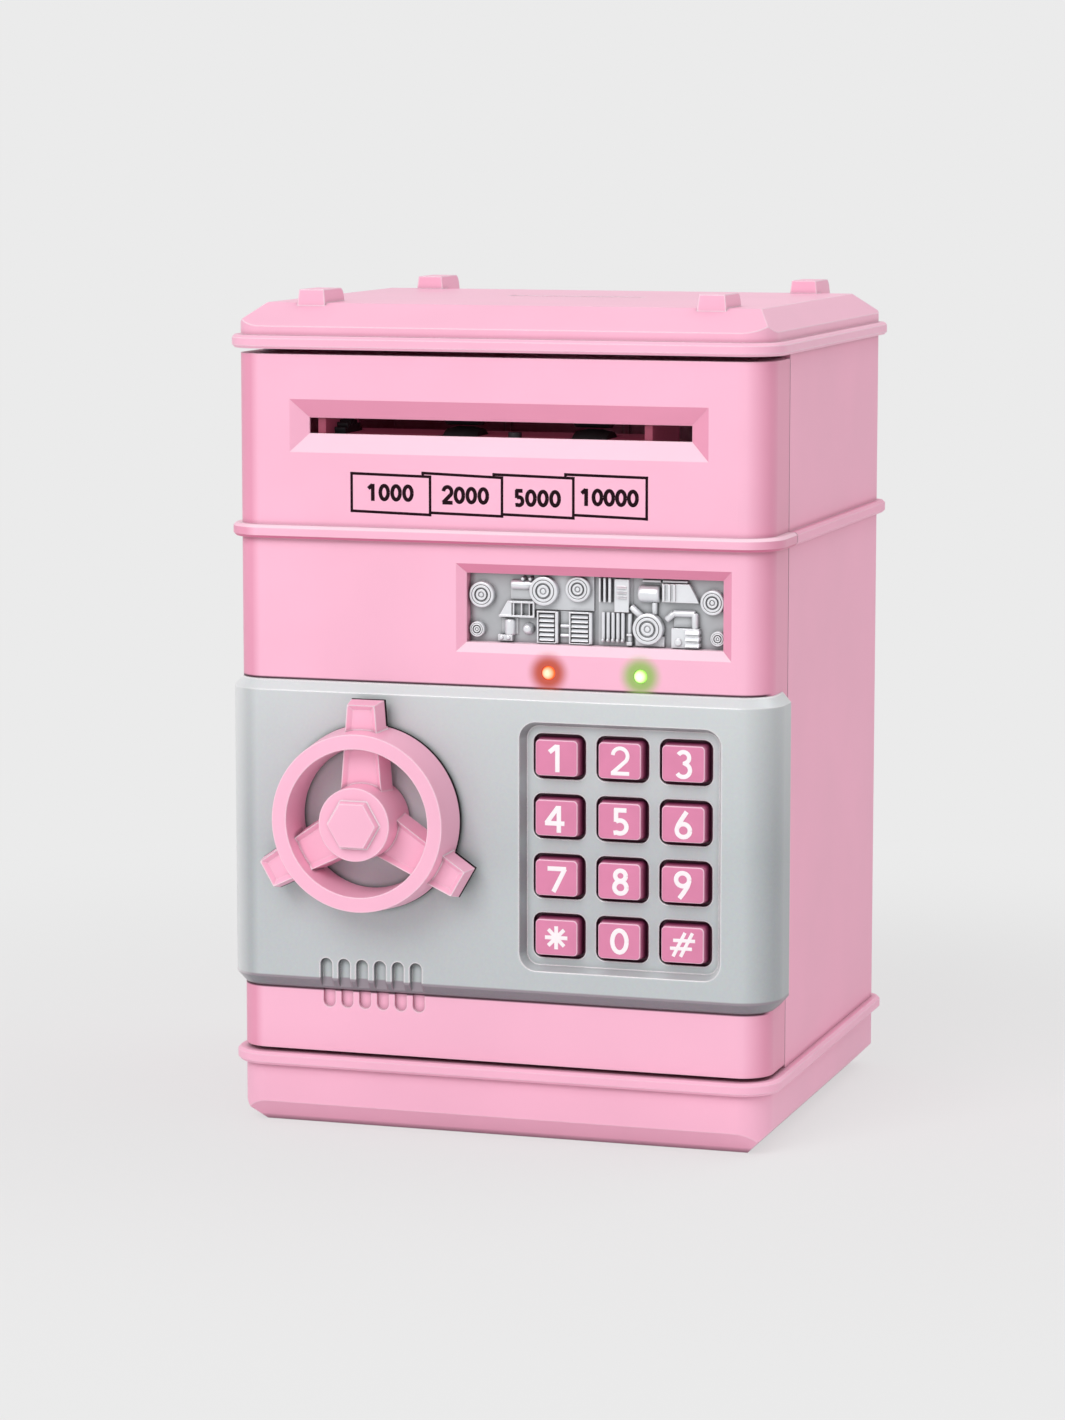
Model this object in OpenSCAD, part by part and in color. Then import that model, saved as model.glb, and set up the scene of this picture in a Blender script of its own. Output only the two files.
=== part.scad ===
// Automatic coin bank: a small safe with a hinged front, a handwheel bolt, a keypad and a note feed.
// X runs to the right seen from the front, Y to the rear, Z up.
// The origin is the centre of the base's underside.

/* [Case] */
// Width over the flat sides
body_w = 124; // [122:1:128]
// Depth over the flat front and rear
body_d = 105; // [104:1:112]
// Radius of the two front corners in plan
front_r = 7; // [6:0.5:9]
// Radius of the two rear corners in plan
rear_r = 3.2; // [3:0.2:5]
// Thickness of the moulded walls
wall = 2.4; // [2:0.2:2.6]
// How far the lips and the belt stand out
lip_proud = 2; // [1.4:0.2:2.4]
// Depth of the door's side flanges behind the front
seam_depth = 17.2; // [16.8:0.2:18]

/* [Levels] */
// Height of the base tray
tray_h = 14; // [14:0.5:16]
// Height of a lip or of the belt
lip_h = 2.9; // [2.4:0.1:3.2]
// Underside of the belt
belt_z = 134.2; // [133.8:0.2:136]
// Underside of the lid's lip
lid_z = 176.4; // [176.4:0.2:180]
// Height of the lid from its lip's underside to its flat top
lid_h = 9.8; // [9.4:0.2:11]
// Height of the four lugs above the flat top
lug_h = 3; // [2:0.2:4]

/* [Control panel] */
// Lower edge of the panel
panel_z0 = 32.2; // [31:0.2:33]
// Upper edge of the panel
panel_z1 = 102.4; // [101:0.2:103]
// How far the panel stands out
panel_proud = 2; // [1.6:0.2:2.4]
// Height of the sloping edges of the panel
panel_bevel = 2.3; // [1.6:0.1:3]

/* [Keypad] */
// Centre of the middle column
keypad_x = 29.05; // [28.8:0.05:29.3]
// Centre of the four rows
keypad_z = 67.4; // [67.2:0.1:67.6]
// Distance between columns
key_pitch_x = 14.5; // [14.2:0.1:14.8]
// Distance between rows
key_pitch_z = 13.4; // [13.2:0.1:13.6]
// Travel of a key
key_travel = 1; // [0.6:0.1:1]

/* [Handwheel] */
// Centre across the front
knob_x = -28.3; // [-29:0.1:-28]
// Centre height
knob_z = 72.5; // [72:0.1:73]
// Outer radius of the rim at its back
knob_r = 20.5; // [20:0.25:21]
// Inner radius of the rim at its front
knob_bore_r = 16.6; // [16:0.2:17]
// Radius of the hub at its front
hub_r = 8.25; // [7.75:0.25:8.5]

/* [Slots and window] */
// Width of the note slot
slot_w = 88.4; // [80:0.4:90]
// Height of the note slot
slot_h = 3.5; // [3.2:0.1:3.8]
// Centre height of the note slot
slot_z = 159.35; // [159.3:0.05:159.4]
// Slope width round the note slot
slot_bezel = 4.15; // [3:0.05:4.5]
// Width of the window
window_w = 58.8; // [56:0.4:60]
// Height of the window
window_h = 15.4; // [14:0.2:16]
// Slope width round the window
window_bezel = 2.15; // [1.5:0.05:2.5]
// Length of the coin slot in the lid
coin_w = 32; // [28:1:36]
// Width of the coin slot in the lid
coin_h = 4.8; // [4.6:0.1:5.4]

/* [Hidden] */
$fn = 48;
eps = 0.01;

// Planes of the case
side_x = body_w / 2;
front_y = -body_d / 2;
rear_y = body_d / 2;
seam_y = front_y + seam_depth;
inner_x = side_x - wall;
plate_top = tray_h + lip_h;
flat_z = lid_z + lid_h;
band_z = lid_z + 5;
chamfer = 5.2;
slope_y = 10.4;
slope_x = 4.7;

// Door hinge
knuckle_r = 2.6;
pin_r = 1.5;
run_gap = 0.05;
pivot = [-side_x + knuckle_r, seam_y];
door_z0 = plate_top + 0.9;
door_z1 = lid_z - 1.2;
case_edge_right = seam_y + 0.5;
case_edge_left = seam_y + 3.4;

// Depth planes inside the door
door_in_y = front_y + wall;
panel_y = front_y - panel_proud;
panel_end = 12.8;
recess = [46.2, 55.8];
recess_r = 3.9;
recess_slope = 1;
recess_depth = 2.7;
recess_y = panel_y + recess_depth;
tray_t = 1;
key_face_y = recess_y - 2.65;
mat_y = front_y + 5.2;
dome_h = 1.1;
mat_t = 0.8;
board_t = 1.6;
keypad_board_y = mat_y + mat_t;
main_board_y = front_y + 6;
led_board_y = front_y + 5.6;
ear_y = front_y + 8;
back_y = seam_y - 2.1;
back_t = 1.8;

// Bolt: the crank stands 30 degrees left of upright when the bolt is drawn,
// 30 degrees right when it is shot
crank_r = 8;
crank_half = 30;
bolt_throw = 2 * crank_r * sin(crank_half);
bar_y0 = seam_y - 8.1;
bar_t = 2.5;
bar_mid_y = bar_y0 + bar_t / 2;
bar_z = knob_z + crank_r * (1 + cos(crank_half)) / 2;
bar_half = 3.5;
bolt_end = inner_x - 0.4;
crank_pin_r = 1.5;
guide_x = [0.4, 47.2];
strike_x = inner_x - 2.8;
strike_t = 1.6;
strike_half = 8;
strike_end = seam_y + 14.5;
strike_screw_y = seam_y + 11;
strike_screw_z = [bar_z - 6, bar_z + 6];

// Lock solenoid: its plunger rises into a notch of the bolt
lock_x = -8;
lock_r = 1.6;
plunger_r = 2.02;
lock_lift = 3.5;
lock_top = bar_z - bar_half - 0.5;
yoke_h = 17.5;
yoke_w = 12;
yoke_t = 1.2;
yoke_top = lock_top - 2;
yoke_y0 = bar_mid_y - 5;

// Keypad
key_cols = 3;
key_rows = 4;
hole_w = 12.1;
hole_h = 10.1;
key_w = 10.3;
key_h = 8.6;
key_r = 1.1;
key_draft = 0.35;
keypad_open = [recess[0] + 0.6, recess[1] + 0.6];
mat_size = [42, 50];
board_size = [46, 66];
keypad_screw = 30.8;
KEY_LABELS = ["1", "2", "3", "4", "5", "6", "7", "8", "9", "star", "0", "hash"];

// Knob planes, measured out from the front of the panel
rim_y1 = panel_y - 1.2;
rim_y0 = panel_y - 11.3;
hub_y0 = panel_y - 12.9;
hex_y0 = panel_y - 14.6;
spoke_y0 = panel_y - 8;
spoke_y1 = panel_y - 2.4;
hub_y1 = panel_y - 0.15;
rim_draft = 0.55;
hub_draft = 0.45;
knob_shaft_r = 2.5;

// Note feed: points in the YZ plane
nip = 0.15;
drive_r = 7.2;
idler_r = 4;
drive = [seam_y - 5.2, slot_z - nip - drive_r];
idler = [drive[0], slot_z + nip + idler_r];
roller_x = [-11, 19];
roller_w = 8;
gear_m = 0.6;
gear_teeth = 26;
pinion_teeth = 10;
gear_step = gear_m * (gear_teeth + pinion_teeth) / 2;
// The line between the two gear centres lies at this angle from +Y
mesh_angle = -53;
pinion = [drive[0] + gear_step * cos(mesh_angle), drive[1] + gear_step * sin(mesh_angle)];
gear_x = -40.2;
gear_w = 2.6;
frame_x0 = -42.5;
frame_x1 = 35;
frame_z0 = 145;
frame_z1 = 171;
plate_t = 1.8;
guide_t = 1.3;
guide_low = slot_z - slot_h / 2 - 0.2;
guide_high = slot_z + slot_h / 2 + 0.4;
shaft_r = 1.5;
bush_r = 2.8;
idler_shaft_r = 1;
pinion_shaft_r = 0.75;
motor_x = -36.6;
motor_l = 15;
motor_r = 6;
motor_flat = 5;
cradle_x = motor_x + 3.6;
cradle_w = 6;
sensor_x = 2.5;
sensor_r = 1.5;

// Window, lamps and vents
window_x = 22.2;
window_z = 119.9;
relief_y = front_y + 3.9;
lamp_x = [12.1, 33.2];
lamp_z = 106.1;
lamp_r = 1.5;
vent_n = 6;
vent_x = -39.7;
vent_pitch = 4.26;
vent_w = 2.85;
vent_top = 39.6;
vent_foot = 28;
speaker_pos = [-29, 36.5];

// Base and battery bay
bay = [57, 46.6];
bay_wall_t = 1.6;
bay_roof = 18.4;
cover_t = 1.9;
tab_x = bay[0] / 2 + 4;
cell_r = 7.1;
cell_l = 50;
cell_minus_x = -24.3;
cell_pitch = 15.1;
cell_z = 9.4;
strip_t = 0.4;

// Screws: the large ones are [x, y] in the case and [x, z] in the door
screw_r = 1.3;
head_r = 2.6;
head_h = 1.2;
screw_pos = [[-53.5, -25.5], [53.5, -25.5], [-53.5, 44.5], [53.5, 44.5]];
door_screw_pos = [[-52.3, 26], [52.3, 26], [-52.3, 133.6], [52.3, 133.6]];

// Small screws of the door as [x, z, y of the rear face of what they hold], each held thing board_t thick
small_r = 1;
small_head_r = 1.9;
post_r = 2.6;
ear_x = [frame_x0 - 3, frame_x1 + 3];
ear_z = [frame_z0 + 2, frame_z1 - 3];
small_screws = concat(
    [for (x = ear_x, z = ear_z) [x, z, ear_y + board_t]],
    [for (s = [-1, 1]) [keypad_x, keypad_z + s * keypad_screw, keypad_board_y + board_t]],
    [for (x = [-7.5, 46.5]) [x, 24.4, main_board_y + board_t]],
    [for (x = [17.6, 27.7]) [x, 105.9, led_board_y + board_t]]
);

// Colours
pink = [0.95, 0.70, 0.80];
deep_pink = [0.88, 0.50, 0.66];
silver_grey = [0.79, 0.81, 0.82];
relief_silver = [0.72, 0.73, 0.74];
dark = [0.16, 0.16, 0.17];
steel = [0.62, 0.63, 0.65];
brass = [0.78, 0.62, 0.32];
board_green = [0.15, 0.42, 0.25];

// A block between two corners
module block(a, b) {
    translate(a) cube(b - a);
}

// A cylinder along Y between y0 and y1 round the point p = [x, z]
module rod_y(p, r, y0, y1) {
    translate([p[0], y0, p[1]]) rotate([-90, 0, 0]) cylinder(r = r, h = y1 - y0);
}

// A cylinder along X between x0 and x1 round the point p = [y, z]
module rod_x(p, r, x0, x1) {
    translate([x0, p[0], p[1]]) rotate([0, 90, 0]) cylinder(r = r, h = x1 - x0);
}

// A cylinder along Z between z0 and z1 round the point p = [x, y]
module rod_z(p, r, z0, z1) {
    translate([p[0], p[1], z0]) cylinder(r = r, h = z1 - z0);
}

// Plan outline with its own front and rear corner radii
module plan(w, d, rf, rr) {
    translate([-w / 2, -d / 2 + rf]) square([w, d - rf - rr]);
    translate([-w / 2 + rf, -d / 2]) square([w - 2 * rf, d - rr]);
    translate([-w / 2 + rr, -d / 2 + rf]) square([w - 2 * rr, d - rf]);
    for (s = [-1, 1]) {
        translate([s * (w / 2 - rf), -d / 2 + rf]) circle(rf);
        translate([s * (w / 2 - rr), d / 2 - rr]) circle(rr);
    }
}

// Column on the plan outline, drawn in by the given amount
module column(inset, z0, z1) {
    translate([0, 0, z0]) linear_extrude(z1 - z0)
        plan(body_w - 2 * inset, body_d - 2 * inset, front_r - inset, max(rear_r - inset, 0.8));
}

// Rectangle with round corners in the XZ plane, between y0 and y1, centred on c = [x, z]
module pad(c, w, h, r, y0, y1) {
    translate([c[0], y1, c[1]]) rotate([90, 0, 0]) linear_extrude(y1 - y0) {
        square([w - 2 * r, h], center = true);
        square([w, h - 2 * r], center = true);
        for (sx = [-1, 1], sz = [-1, 1]) translate([sx * (w / 2 - r), sz * (h / 2 - r)]) circle(r);
    }
}

// Rounded rectangle in the XZ plane: w by h with corners r at y1, larger by s all round at y0
module dish(c, w, h, r, s, y0, y1) {
    cx = w / 2 - r;
    cz = h / 2 - r;
    side = [[-w / 2 - s, y0], [w / 2 + s, y0], [w / 2, y1], [-w / 2, y1]];
    tall = [[y0, -h / 2 - s], [y1, -h / 2], [y1, h / 2], [y0, h / 2 + s]];
    translate([c[0], 0, c[1]]) {
        translate([0, 0, -cz]) linear_extrude(2 * cz) polygon(side);
        translate([-cx, 0, 0]) rotate([90, 0, 90]) linear_extrude(2 * cx) polygon(tall);
        for (sx = [-1, 1], sz = [-1, 1]) translate([sx * cx, y1, sz * cz]) rotate([90, 0, 0])
            cylinder(r1 = r, r2 = r + s, h = y1 - y0);
    }
}

// Rectangular funnel in the XZ plane: w by h at y1, wider by s all round at y0
module funnel(c, w, h, s, y0, y1) {
    side = [[-w / 2 - s, y0], [w / 2 + s, y0], [w / 2, y1], [-w / 2, y1]];
    tall = [[y0, -h / 2 - s], [y1, -h / 2], [y1, h / 2], [y0, h / 2 + s]];
    translate([c[0], 0, c[1]]) intersection() {
        linear_extrude(h + 4 * s, center = true) polygon(side);
        translate([-w, 0, 0]) rotate([90, 0, 90]) linear_extrude(2 * w) polygon(tall);
    }
}

// Moulding run: a profile of [outward, z] points swept along the front, the front corners and the sides
module front_run(profile, left_end, right_end) {
    cx = side_x - front_r;
    cy = front_y + front_r;
    translate([-cx, front_y, 0]) mirror([0, 1, 0]) rotate([90, 0, 90])
        linear_extrude(2 * cx) polygon(profile);
    for (a = [180, 270]) translate([a == 180 ? -cx : cx, cy, 0]) rotate([0, 0, a])
        rotate_extrude(angle = 90) translate([front_r, 0]) polygon(profile);
    side_run(profile, -1, cy, left_end);
    side_run(profile, 1, cy, right_end);
}

// The same profile along one side between two values of Y
module side_run(profile, side, y0, y1) {
    flip = side < 0 ? [1, 0, 0] : [0, 0, 0];
    mirror(flip) translate([side_x, y1, 0]) rotate([90, 0, 0]) linear_extrude(y1 - y0) polygon(profile);
}

// The same profile round the rear corners and along the rear
module rear_run(profile) {
    cx = side_x - rear_r;
    cy = rear_y - rear_r;
    translate([-cx, rear_y, 0]) rotate([90, 0, 90]) linear_extrude(2 * cx) polygon(profile);
    for (a = [0, 90]) translate([a == 90 ? -cx : cx, cy, 0]) rotate([0, 0, a])
        rotate_extrude(angle = 90) translate([rear_r, 0]) polygon(profile);
}

// Lip profile: a flat bead with eased edges, rooted inside the wall
function lip_profile(z0) = [
    [-1.2, z0], [lip_proud - 0.6, z0], [lip_proud, z0 + 0.6],
    [lip_proud, z0 + lip_h - 0.6], [lip_proud - 0.6, z0 + lip_h], [-1.2, z0 + lip_h]
];

module lip(z0) {
    front_run(lip_profile(z0), rear_y - rear_r, rear_y - rear_r);
    rear_run(lip_profile(z0));
}

// Block of the case's plan whose upper or lower edge slopes in, given as an XZ and a YZ outline
module hipped(xz, yz, inset) {
    intersection() {
        translate([0, body_d, 0]) rotate([90, 0, 0]) linear_extrude(2 * body_d) polygon(xz);
        translate([-body_w, 0, 0]) rotate([90, 0, 90]) linear_extrude(2 * body_w) polygon(yz);
        column(inset, -1, 200);
    }
}

function foot_outline(half, z0, z1, c) = [
    [-half + c, z0], [half - c, z0], [half, z0 + c], [half, z1], [-half, z1], [-half, z0 + c]
];

function roof_outline(half, z0, zb, zt, s) = [
    [-half, z0], [half, z0], [half, zb], [half - s, zt], [-half + s, zt], [-half, zb]
];

// Pan-head screw along +Z, its head below z = 0 with a crossed recess
module screw(len) {
    cylinder(r = screw_r, h = len);
    translate([0, 0, -head_h]) difference() {
        cylinder(r = head_r, h = head_h);
        for (a = [0, 90]) rotate([0, 0, a]) translate([-1.5, -0.25, -eps]) cube([3, 0.5, 0.7]);
    }
}

// Block on the battery bay's outline, grown by the given amount
module bay_block(grow, z0, z1) {
    block([-bay[0] / 2 - grow, -bay[1] / 2 - grow, z0], [bay[0] / 2 + grow, bay[1] / 2 + grow, z1]);
}

// Base: a tray with sloping foot, the battery bay, screw pillars and two stiffening ribs
module base_tray() {
    pillar_r = 4.2;
    seat_z = 9;
    rib_x = 45;
    rib_half = 0.7;
    color(pink) difference() {
        union() {
            difference() {
                hipped(foot_outline(side_x, 0, tray_h, chamfer), foot_outline(rear_y, 0, tray_h, chamfer), 0);
                hipped(foot_outline(inner_x, wall, tray_h + 1, chamfer - 1),
                       foot_outline(rear_y - wall, wall, tray_h + 1, chamfer - 1), wall);
            }
            difference() {
                bay_block(bay_wall_t, eps, bay_roof - 0.2);
                bay_block(0, -1, bay_roof - bay_wall_t);
            }
            for (p = screw_pos) rod_z(p, pillar_r, wall - eps, tray_h);
            rod_z([tab_x, 0], 3, wall - eps, seat_z);
            intersection() {
                rod_z(pivot, pillar_r, chamfer + 0.3, tray_h);
                column(0.4, 0, tray_h);
            }
            for (x = [-rib_x, rib_x])
                block([x - rib_half, rear_y * -0.8, wall - eps], [x + rib_half, rear_y * 0.8, 7]);
        }
        bay_block(0, -1, wall + 1);
        bay_block(1.2, -1, cover_t);
        block([bay[0] / 2 - 1, -4, -1], [tab_x + 3, 4, cover_t]);
        rod_z([tab_x, 0], small_r, -1, seat_z - 0.6);
        for (p = screw_pos) {
            rod_z(p, head_r + 0.4, -1, seat_z);
            rod_z(p, screw_r + 0.1, seat_z - 1, tray_h + 1);
        }
        rod_z(pivot, pin_r, chamfer + 1.8, tray_h + 1);
    }
}

// Floor of the money chamber, with the lip round the base and a plinth over the battery bay
module floor_plate() {
    color(pink) difference() {
        union() {
            column(0.2, tray_h, plate_top);
            lip(tray_h);
            bay_block(bay_wall_t + 1.8, plate_top - eps, bay_roof + 2);
        }
        bay_block(bay_wall_t + 0.2, tray_h - 1, bay_roof);
        for (p = screw_pos) rod_z(p, screw_r + 0.1, tray_h - 1, plate_top + 1);
        rod_z(pivot, pin_r, tray_h - 1, plate_top + 1);
    }
}

// Battery cover, level with the underside, with grip grooves, three tongues and its own screw
module battery_cover() {
    tongue_x = -bay[0] / 2 + 0.1;
    groove_x = -22;
    color(pink) difference() {
        union() {
            bay_block(0.9, 0, cover_t);
            block([bay[0] / 2 - 1, -3.7, 0], [tab_x + 2.7, 3.7, cover_t]);
            for (y = [-15, 0, 15]) block([tongue_x, y - 3, cover_t - eps], [tongue_x + 1.2, y + 3, 3.4]);
        }
        rod_z([tab_x, 0], 2.3, -1, 1);
        rod_z([tab_x, 0], small_r, 0, 3);
        for (i = [0:4]) block([groove_x + 2.4 * i, -7, -1], [groove_x + 1 + 2.4 * i, 7, 0.5]);
    }
    color(steel) translate([tab_x, 0, 0.3]) difference() {
        union() {
            cylinder(r = 2.2, h = 0.7);
            cylinder(r = small_r, h = 7.5);
        }
        translate([-1.2, -0.25, -1]) cube([2.4, 0.5, 1.4]);
    }
}

// Three cells side by side, the middle one turned end for end
module battery_cells() {
    nub_l = 1.6;
    shoulder_l = 0.6;
    can_l = cell_l - nub_l - shoulder_l;
    color([0.2, 0.2, 0.22]) for (i = [-1:1]) {
        flip = i == 0 ? 180 : 0;
        translate([0, i * cell_pitch, cell_z]) rotate([0, 0, flip]) translate([cell_minus_x, 0, 0])
            rotate([0, 90, 0]) {
                cylinder(r = cell_r, h = can_l);
                translate([0, 0, can_l - eps]) cylinder(r = cell_r - 0.7, h = shoulder_l + eps);
                translate([0, 0, cell_l - nub_l - eps]) cylinder(r = 2.7, h = nub_l + eps);
            }
    }
}

// A strip at each end of each cell, with a tapered spring for the minus end
// or a pressed button for the plus end
module battery_contacts() {
    strip_w = 11;
    button_l = bay[0] / 2 - cell_minus_x - cell_l;
    turn_l = (bay[0] / 2 - strip_t + cell_minus_x) / 4;
    color(steel) for (i = [-1:1], s = [-1, 1]) {
        spring_side = i == 0 ? 1 : -1;
        translate([s * bay[0] / 2, i * cell_pitch, cell_z]) rotate([0, -90 * s, 0]) {
            translate([-strip_w / 2, -strip_w / 2, 0]) cube([strip_w, strip_w, strip_t]);
            if (s == spring_side) for (k = [0:3]) translate([0, 0, strip_t + k * turn_l])
                cylinder(r1 = 4.4 - k * 0.7, r2 = 3.9 - k * 0.7, h = turn_l);
            else cylinder(r1 = 4, r2 = 2.4, h = button_l);
        }
    }
}

module base_screws() {
    color(steel) for (p = screw_pos) translate([p[0], p[1], 9]) screw(18);
}

// Case: sides and rear in one moulding, open at the front, top and bottom
module case_shell() {
    rib_t = 1.4;
    color(pink) difference() {
        union() {
            difference() {
                column(0, plate_top, lid_z);
                column(wall, plate_top - 1, lid_z + 1);
            }
            side_run(lip_profile(belt_z), -1, case_edge_left + 0.8, rear_y - rear_r);
            side_run(lip_profile(belt_z), 1, case_edge_right, rear_y - rear_r);
            rear_run(lip_profile(belt_z));
            for (p = screw_pos) {
                corner_boss(p, plate_top, plate_top + 14);
                corner_boss(p, lid_z - 3, lid_z);
            }
            block([strike_x + strike_t, case_edge_right, bar_z - strike_half],
                  [inner_x + 0.4, strike_end + 0.5, bar_z + strike_half]);
            for (x = [-30, 0, 30]) block([x - rib_t / 2, rear_y - wall - 1, plate_top],
                                         [x + rib_t / 2, rear_y - 1, lid_z]);
        }
        block([-side_x - 5, front_y - 5, 0], [0, case_edge_left, 200]);
        block([-eps, front_y - 5, 0], [side_x + 5, case_edge_right, 200]);
        for (p = screw_pos) {
            rod_z(p, screw_r, plate_top - 1, plate_top + 12);
            rod_z(p, screw_r + 0.1, lid_z - 5, lid_z + 1);
        }
        for (z = strike_screw_z) rod_x([strike_screw_y, z], small_r, inner_x - 3, inner_x + 0.8);
    }
}

// Screw boss joined to the side wall by a web
module corner_boss(p, z0, z1) {
    wall_x = inner_x + 0.4;
    rod_z(p, 3.4, z0, z1);
    block([p[0] > 0 ? p[0] : -wall_x, p[1] - 1.2, z0], [p[0] > 0 ? wall_x : p[0], p[1] + 1.2, z1]);
}

// Steel keeper on the case's right wall, with the window that the bolt enters and two screws
module strike_plate() {
    gap = 0.5;
    color(steel) difference() {
        union() {
            block([strike_x, bar_y0 - 1.8, bar_z - strike_half],
                  [strike_x + strike_t, strike_end, bar_z + strike_half]);
            for (z = strike_screw_z) {
                rod_x([strike_screw_y, z], small_r, strike_x, inner_x + 0.4);
                rod_x([strike_screw_y, z], small_head_r, strike_x - 1, strike_x + eps);
            }
        }
        block([strike_x - 1, bar_y0 - gap, bar_z - bar_half - gap],
              [strike_x + 3, bar_y0 + bar_t + gap, bar_z + bar_half + gap]);
        for (z = strike_screw_z) block([strike_x - 1.5, strike_screw_y - 1.4, z - 0.25],
                                       [strike_x - 0.5, strike_screw_y + 1.4, z + 0.25]);
    }
}

// Lug on the lid with its front at y0: upright in front, drafted at the sides, rounded behind.
// Behind y = bend its foot follows the rear slope down.
module lid_lug(x, y0, bend) {
    len = 13;
    foot = flat_z - 1.2;
    top = flat_z + lug_h;
    round_r = 1.8;
    half = 3.25;
    half_top = 2.9;
    drop = (y0 + len - bend) * (flat_z - band_z) / slope_y;
    side = concat(
        [[y0, foot], [y0 + 0.4, top]],
        [for (a = [90:-15:0]) [y0 + len - round_r + round_r * cos(a), top - round_r + round_r * sin(a)]],
        drop > 0 ? [[y0 + len, foot - drop], [bend, foot]] : [[y0 + len, foot]]
    );
    low = band_z - 2;
    face = [
        [-half, low], [half, low], [half, flat_z], [half_top, top], [-half_top, top], [-half, flat_z]
    ];
    translate([x, 0, 0]) intersection() {
        translate([-5, 0, 0]) rotate([90, 0, 90]) linear_extrude(10) polygon(side);
        translate([0, y0 + len, 0]) rotate([90, 0, 0]) linear_extrude(len) polygon(face);
    }
}

module lid() {
    lug_x = 46.4;
    color(pink) difference() {
        union() {
            difference() {
                union() {
                    hipped(roof_outline(side_x, lid_z, band_z, flat_z, slope_x),
                           roof_outline(rear_y, lid_z, band_z, flat_z, slope_y), 0);
                    lip(lid_z);
                }
                hipped(roof_outline(inner_x, lid_z - 1, band_z - 1, flat_z - wall, slope_x),
                       roof_outline(rear_y - wall, lid_z - 1, band_z - 1, flat_z - wall, slope_y), wall);
            }
            for (p = screw_pos) intersection() {
                rod_z(p, 3.4, lid_z, flat_z - wall + 1);
                hipped(roof_outline(side_x - 1, lid_z, band_z, flat_z - 0.6, slope_x),
                       roof_outline(rear_y - 1, lid_z, band_z, flat_z - 0.6, slope_y), 0.8);
            }
            intersection() {
                rod_z(pivot, 4.2, lid_z, flat_z);
                hipped(roof_outline(side_x, lid_z, band_z, flat_z - 0.6, slope_x),
                       roof_outline(rear_y, lid_z, band_z, flat_z - 0.6, slope_y), 0.4);
            }
            for (x = [-lug_x, lug_x], y = [front_y + slope_y - 1.4, rear_y - 14])
                lid_lug(x, y, rear_y - slope_y);
        }
        translate([-coin_w / 2, 8 - coin_h / 2, flat_z - wall - 1]) cube([coin_w, coin_h, wall + 2]);
        for (p = screw_pos) rod_z(p, screw_r, lid_z - 1, lid_z + 5.4);
        rod_z(pivot, pin_r, lid_z - 1, lid_z + 6);
    }
}

module lid_screws() {
    color(steel) for (p = screw_pos) translate([p[0], p[1], lid_z - 3]) screw(8);
}

// Two short steel pins, one pressed into the base and floor, one into the lid
module hinge_pins() {
    color(steel) {
        rod_z(pivot, pin_r, chamfer + 1.8, door_z0 + 12);
        rod_z(pivot, pin_r, door_z1 - 12, lid_z + 5.9);
    }
}

// Door: front, both round corners and the side flanges, with the slot, window, lamp holes and belt
module door_solid(inset, z0, z1, y_end) {
    intersection() {
        column(inset, z0, z1);
        block([-side_x - 5, front_y - 5, z0], [side_x + 5, y_end, z1]);
    }
}

module vent_row(z0, z1, y0, y1) {
    for (i = [0:vent_n - 1])
        pad([vent_x + i * vent_pitch, (z0 + z1) / 2], vent_w, z1 - z0, vent_w / 2 - eps, y0, y1);
}

module door_shell() {
    bore = 12.5;
    color(pink) difference() {
        union() {
            difference() {
                door_solid(0, door_z0, door_z1, seam_y);
                door_solid(wall, door_z0 + wall, door_z1 - wall, seam_y + 5);
            }
            rod_z(pivot, knuckle_r, door_z0, door_z1);
            front_run(lip_profile(belt_z), seam_y - 6, seam_y);
            for (p = door_screw_pos) rod_y(p, 3, door_in_y - eps, back_y);
            for (p = small_screws) rod_y(p, post_r, door_in_y - eps, p[2] - board_t);
            rod_y([knob_x, knob_z], 5.6, door_in_y - eps, front_y + 3.1);
            pad([window_x, window_z], window_w + 3, window_h + 3, 1.2, door_in_y - eps, relief_y);
        }
        rod_z(pivot, pin_r + run_gap, door_z0 - 1, door_z0 + bore);
        rod_z(pivot, pin_r + run_gap, door_z1 - bore, door_z1 + 1);
        funnel([0, slot_z], slot_w, slot_h, slot_bezel, front_y, front_y + 1.8);
        block([-slot_w / 2, front_y + 1.7, slot_z - slot_h / 2],
              [slot_w / 2, front_y + 5, slot_z + slot_h / 2]);
        funnel([window_x, window_z], window_w, window_h, window_bezel, front_y, front_y + 1.2);
        block([window_x - window_w / 2, front_y + 1.1, window_z - window_h / 2],
              [window_x + window_w / 2, front_y + 6, window_z + window_h / 2]);
        for (x = lamp_x) rod_y([x, lamp_z], lamp_r + run_gap, front_y - 1, front_y + 5);
        pad([keypad_x, keypad_z], keypad_open[0], keypad_open[1], recess_r + 0.3, front_y - 1, door_in_y + 1);
        rod_y([knob_x, knob_z], knob_shaft_r + run_gap, front_y - 1, front_y + 6);
        vent_row(vent_foot, panel_z0 + 4, front_y - 1, front_y + 1);
        for (p = door_screw_pos) rod_y(p, screw_r, back_y - 9, back_y + 1);
        for (p = small_screws) rod_y(p, small_r, door_in_y + 0.6, p[2]);
    }
}

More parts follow.
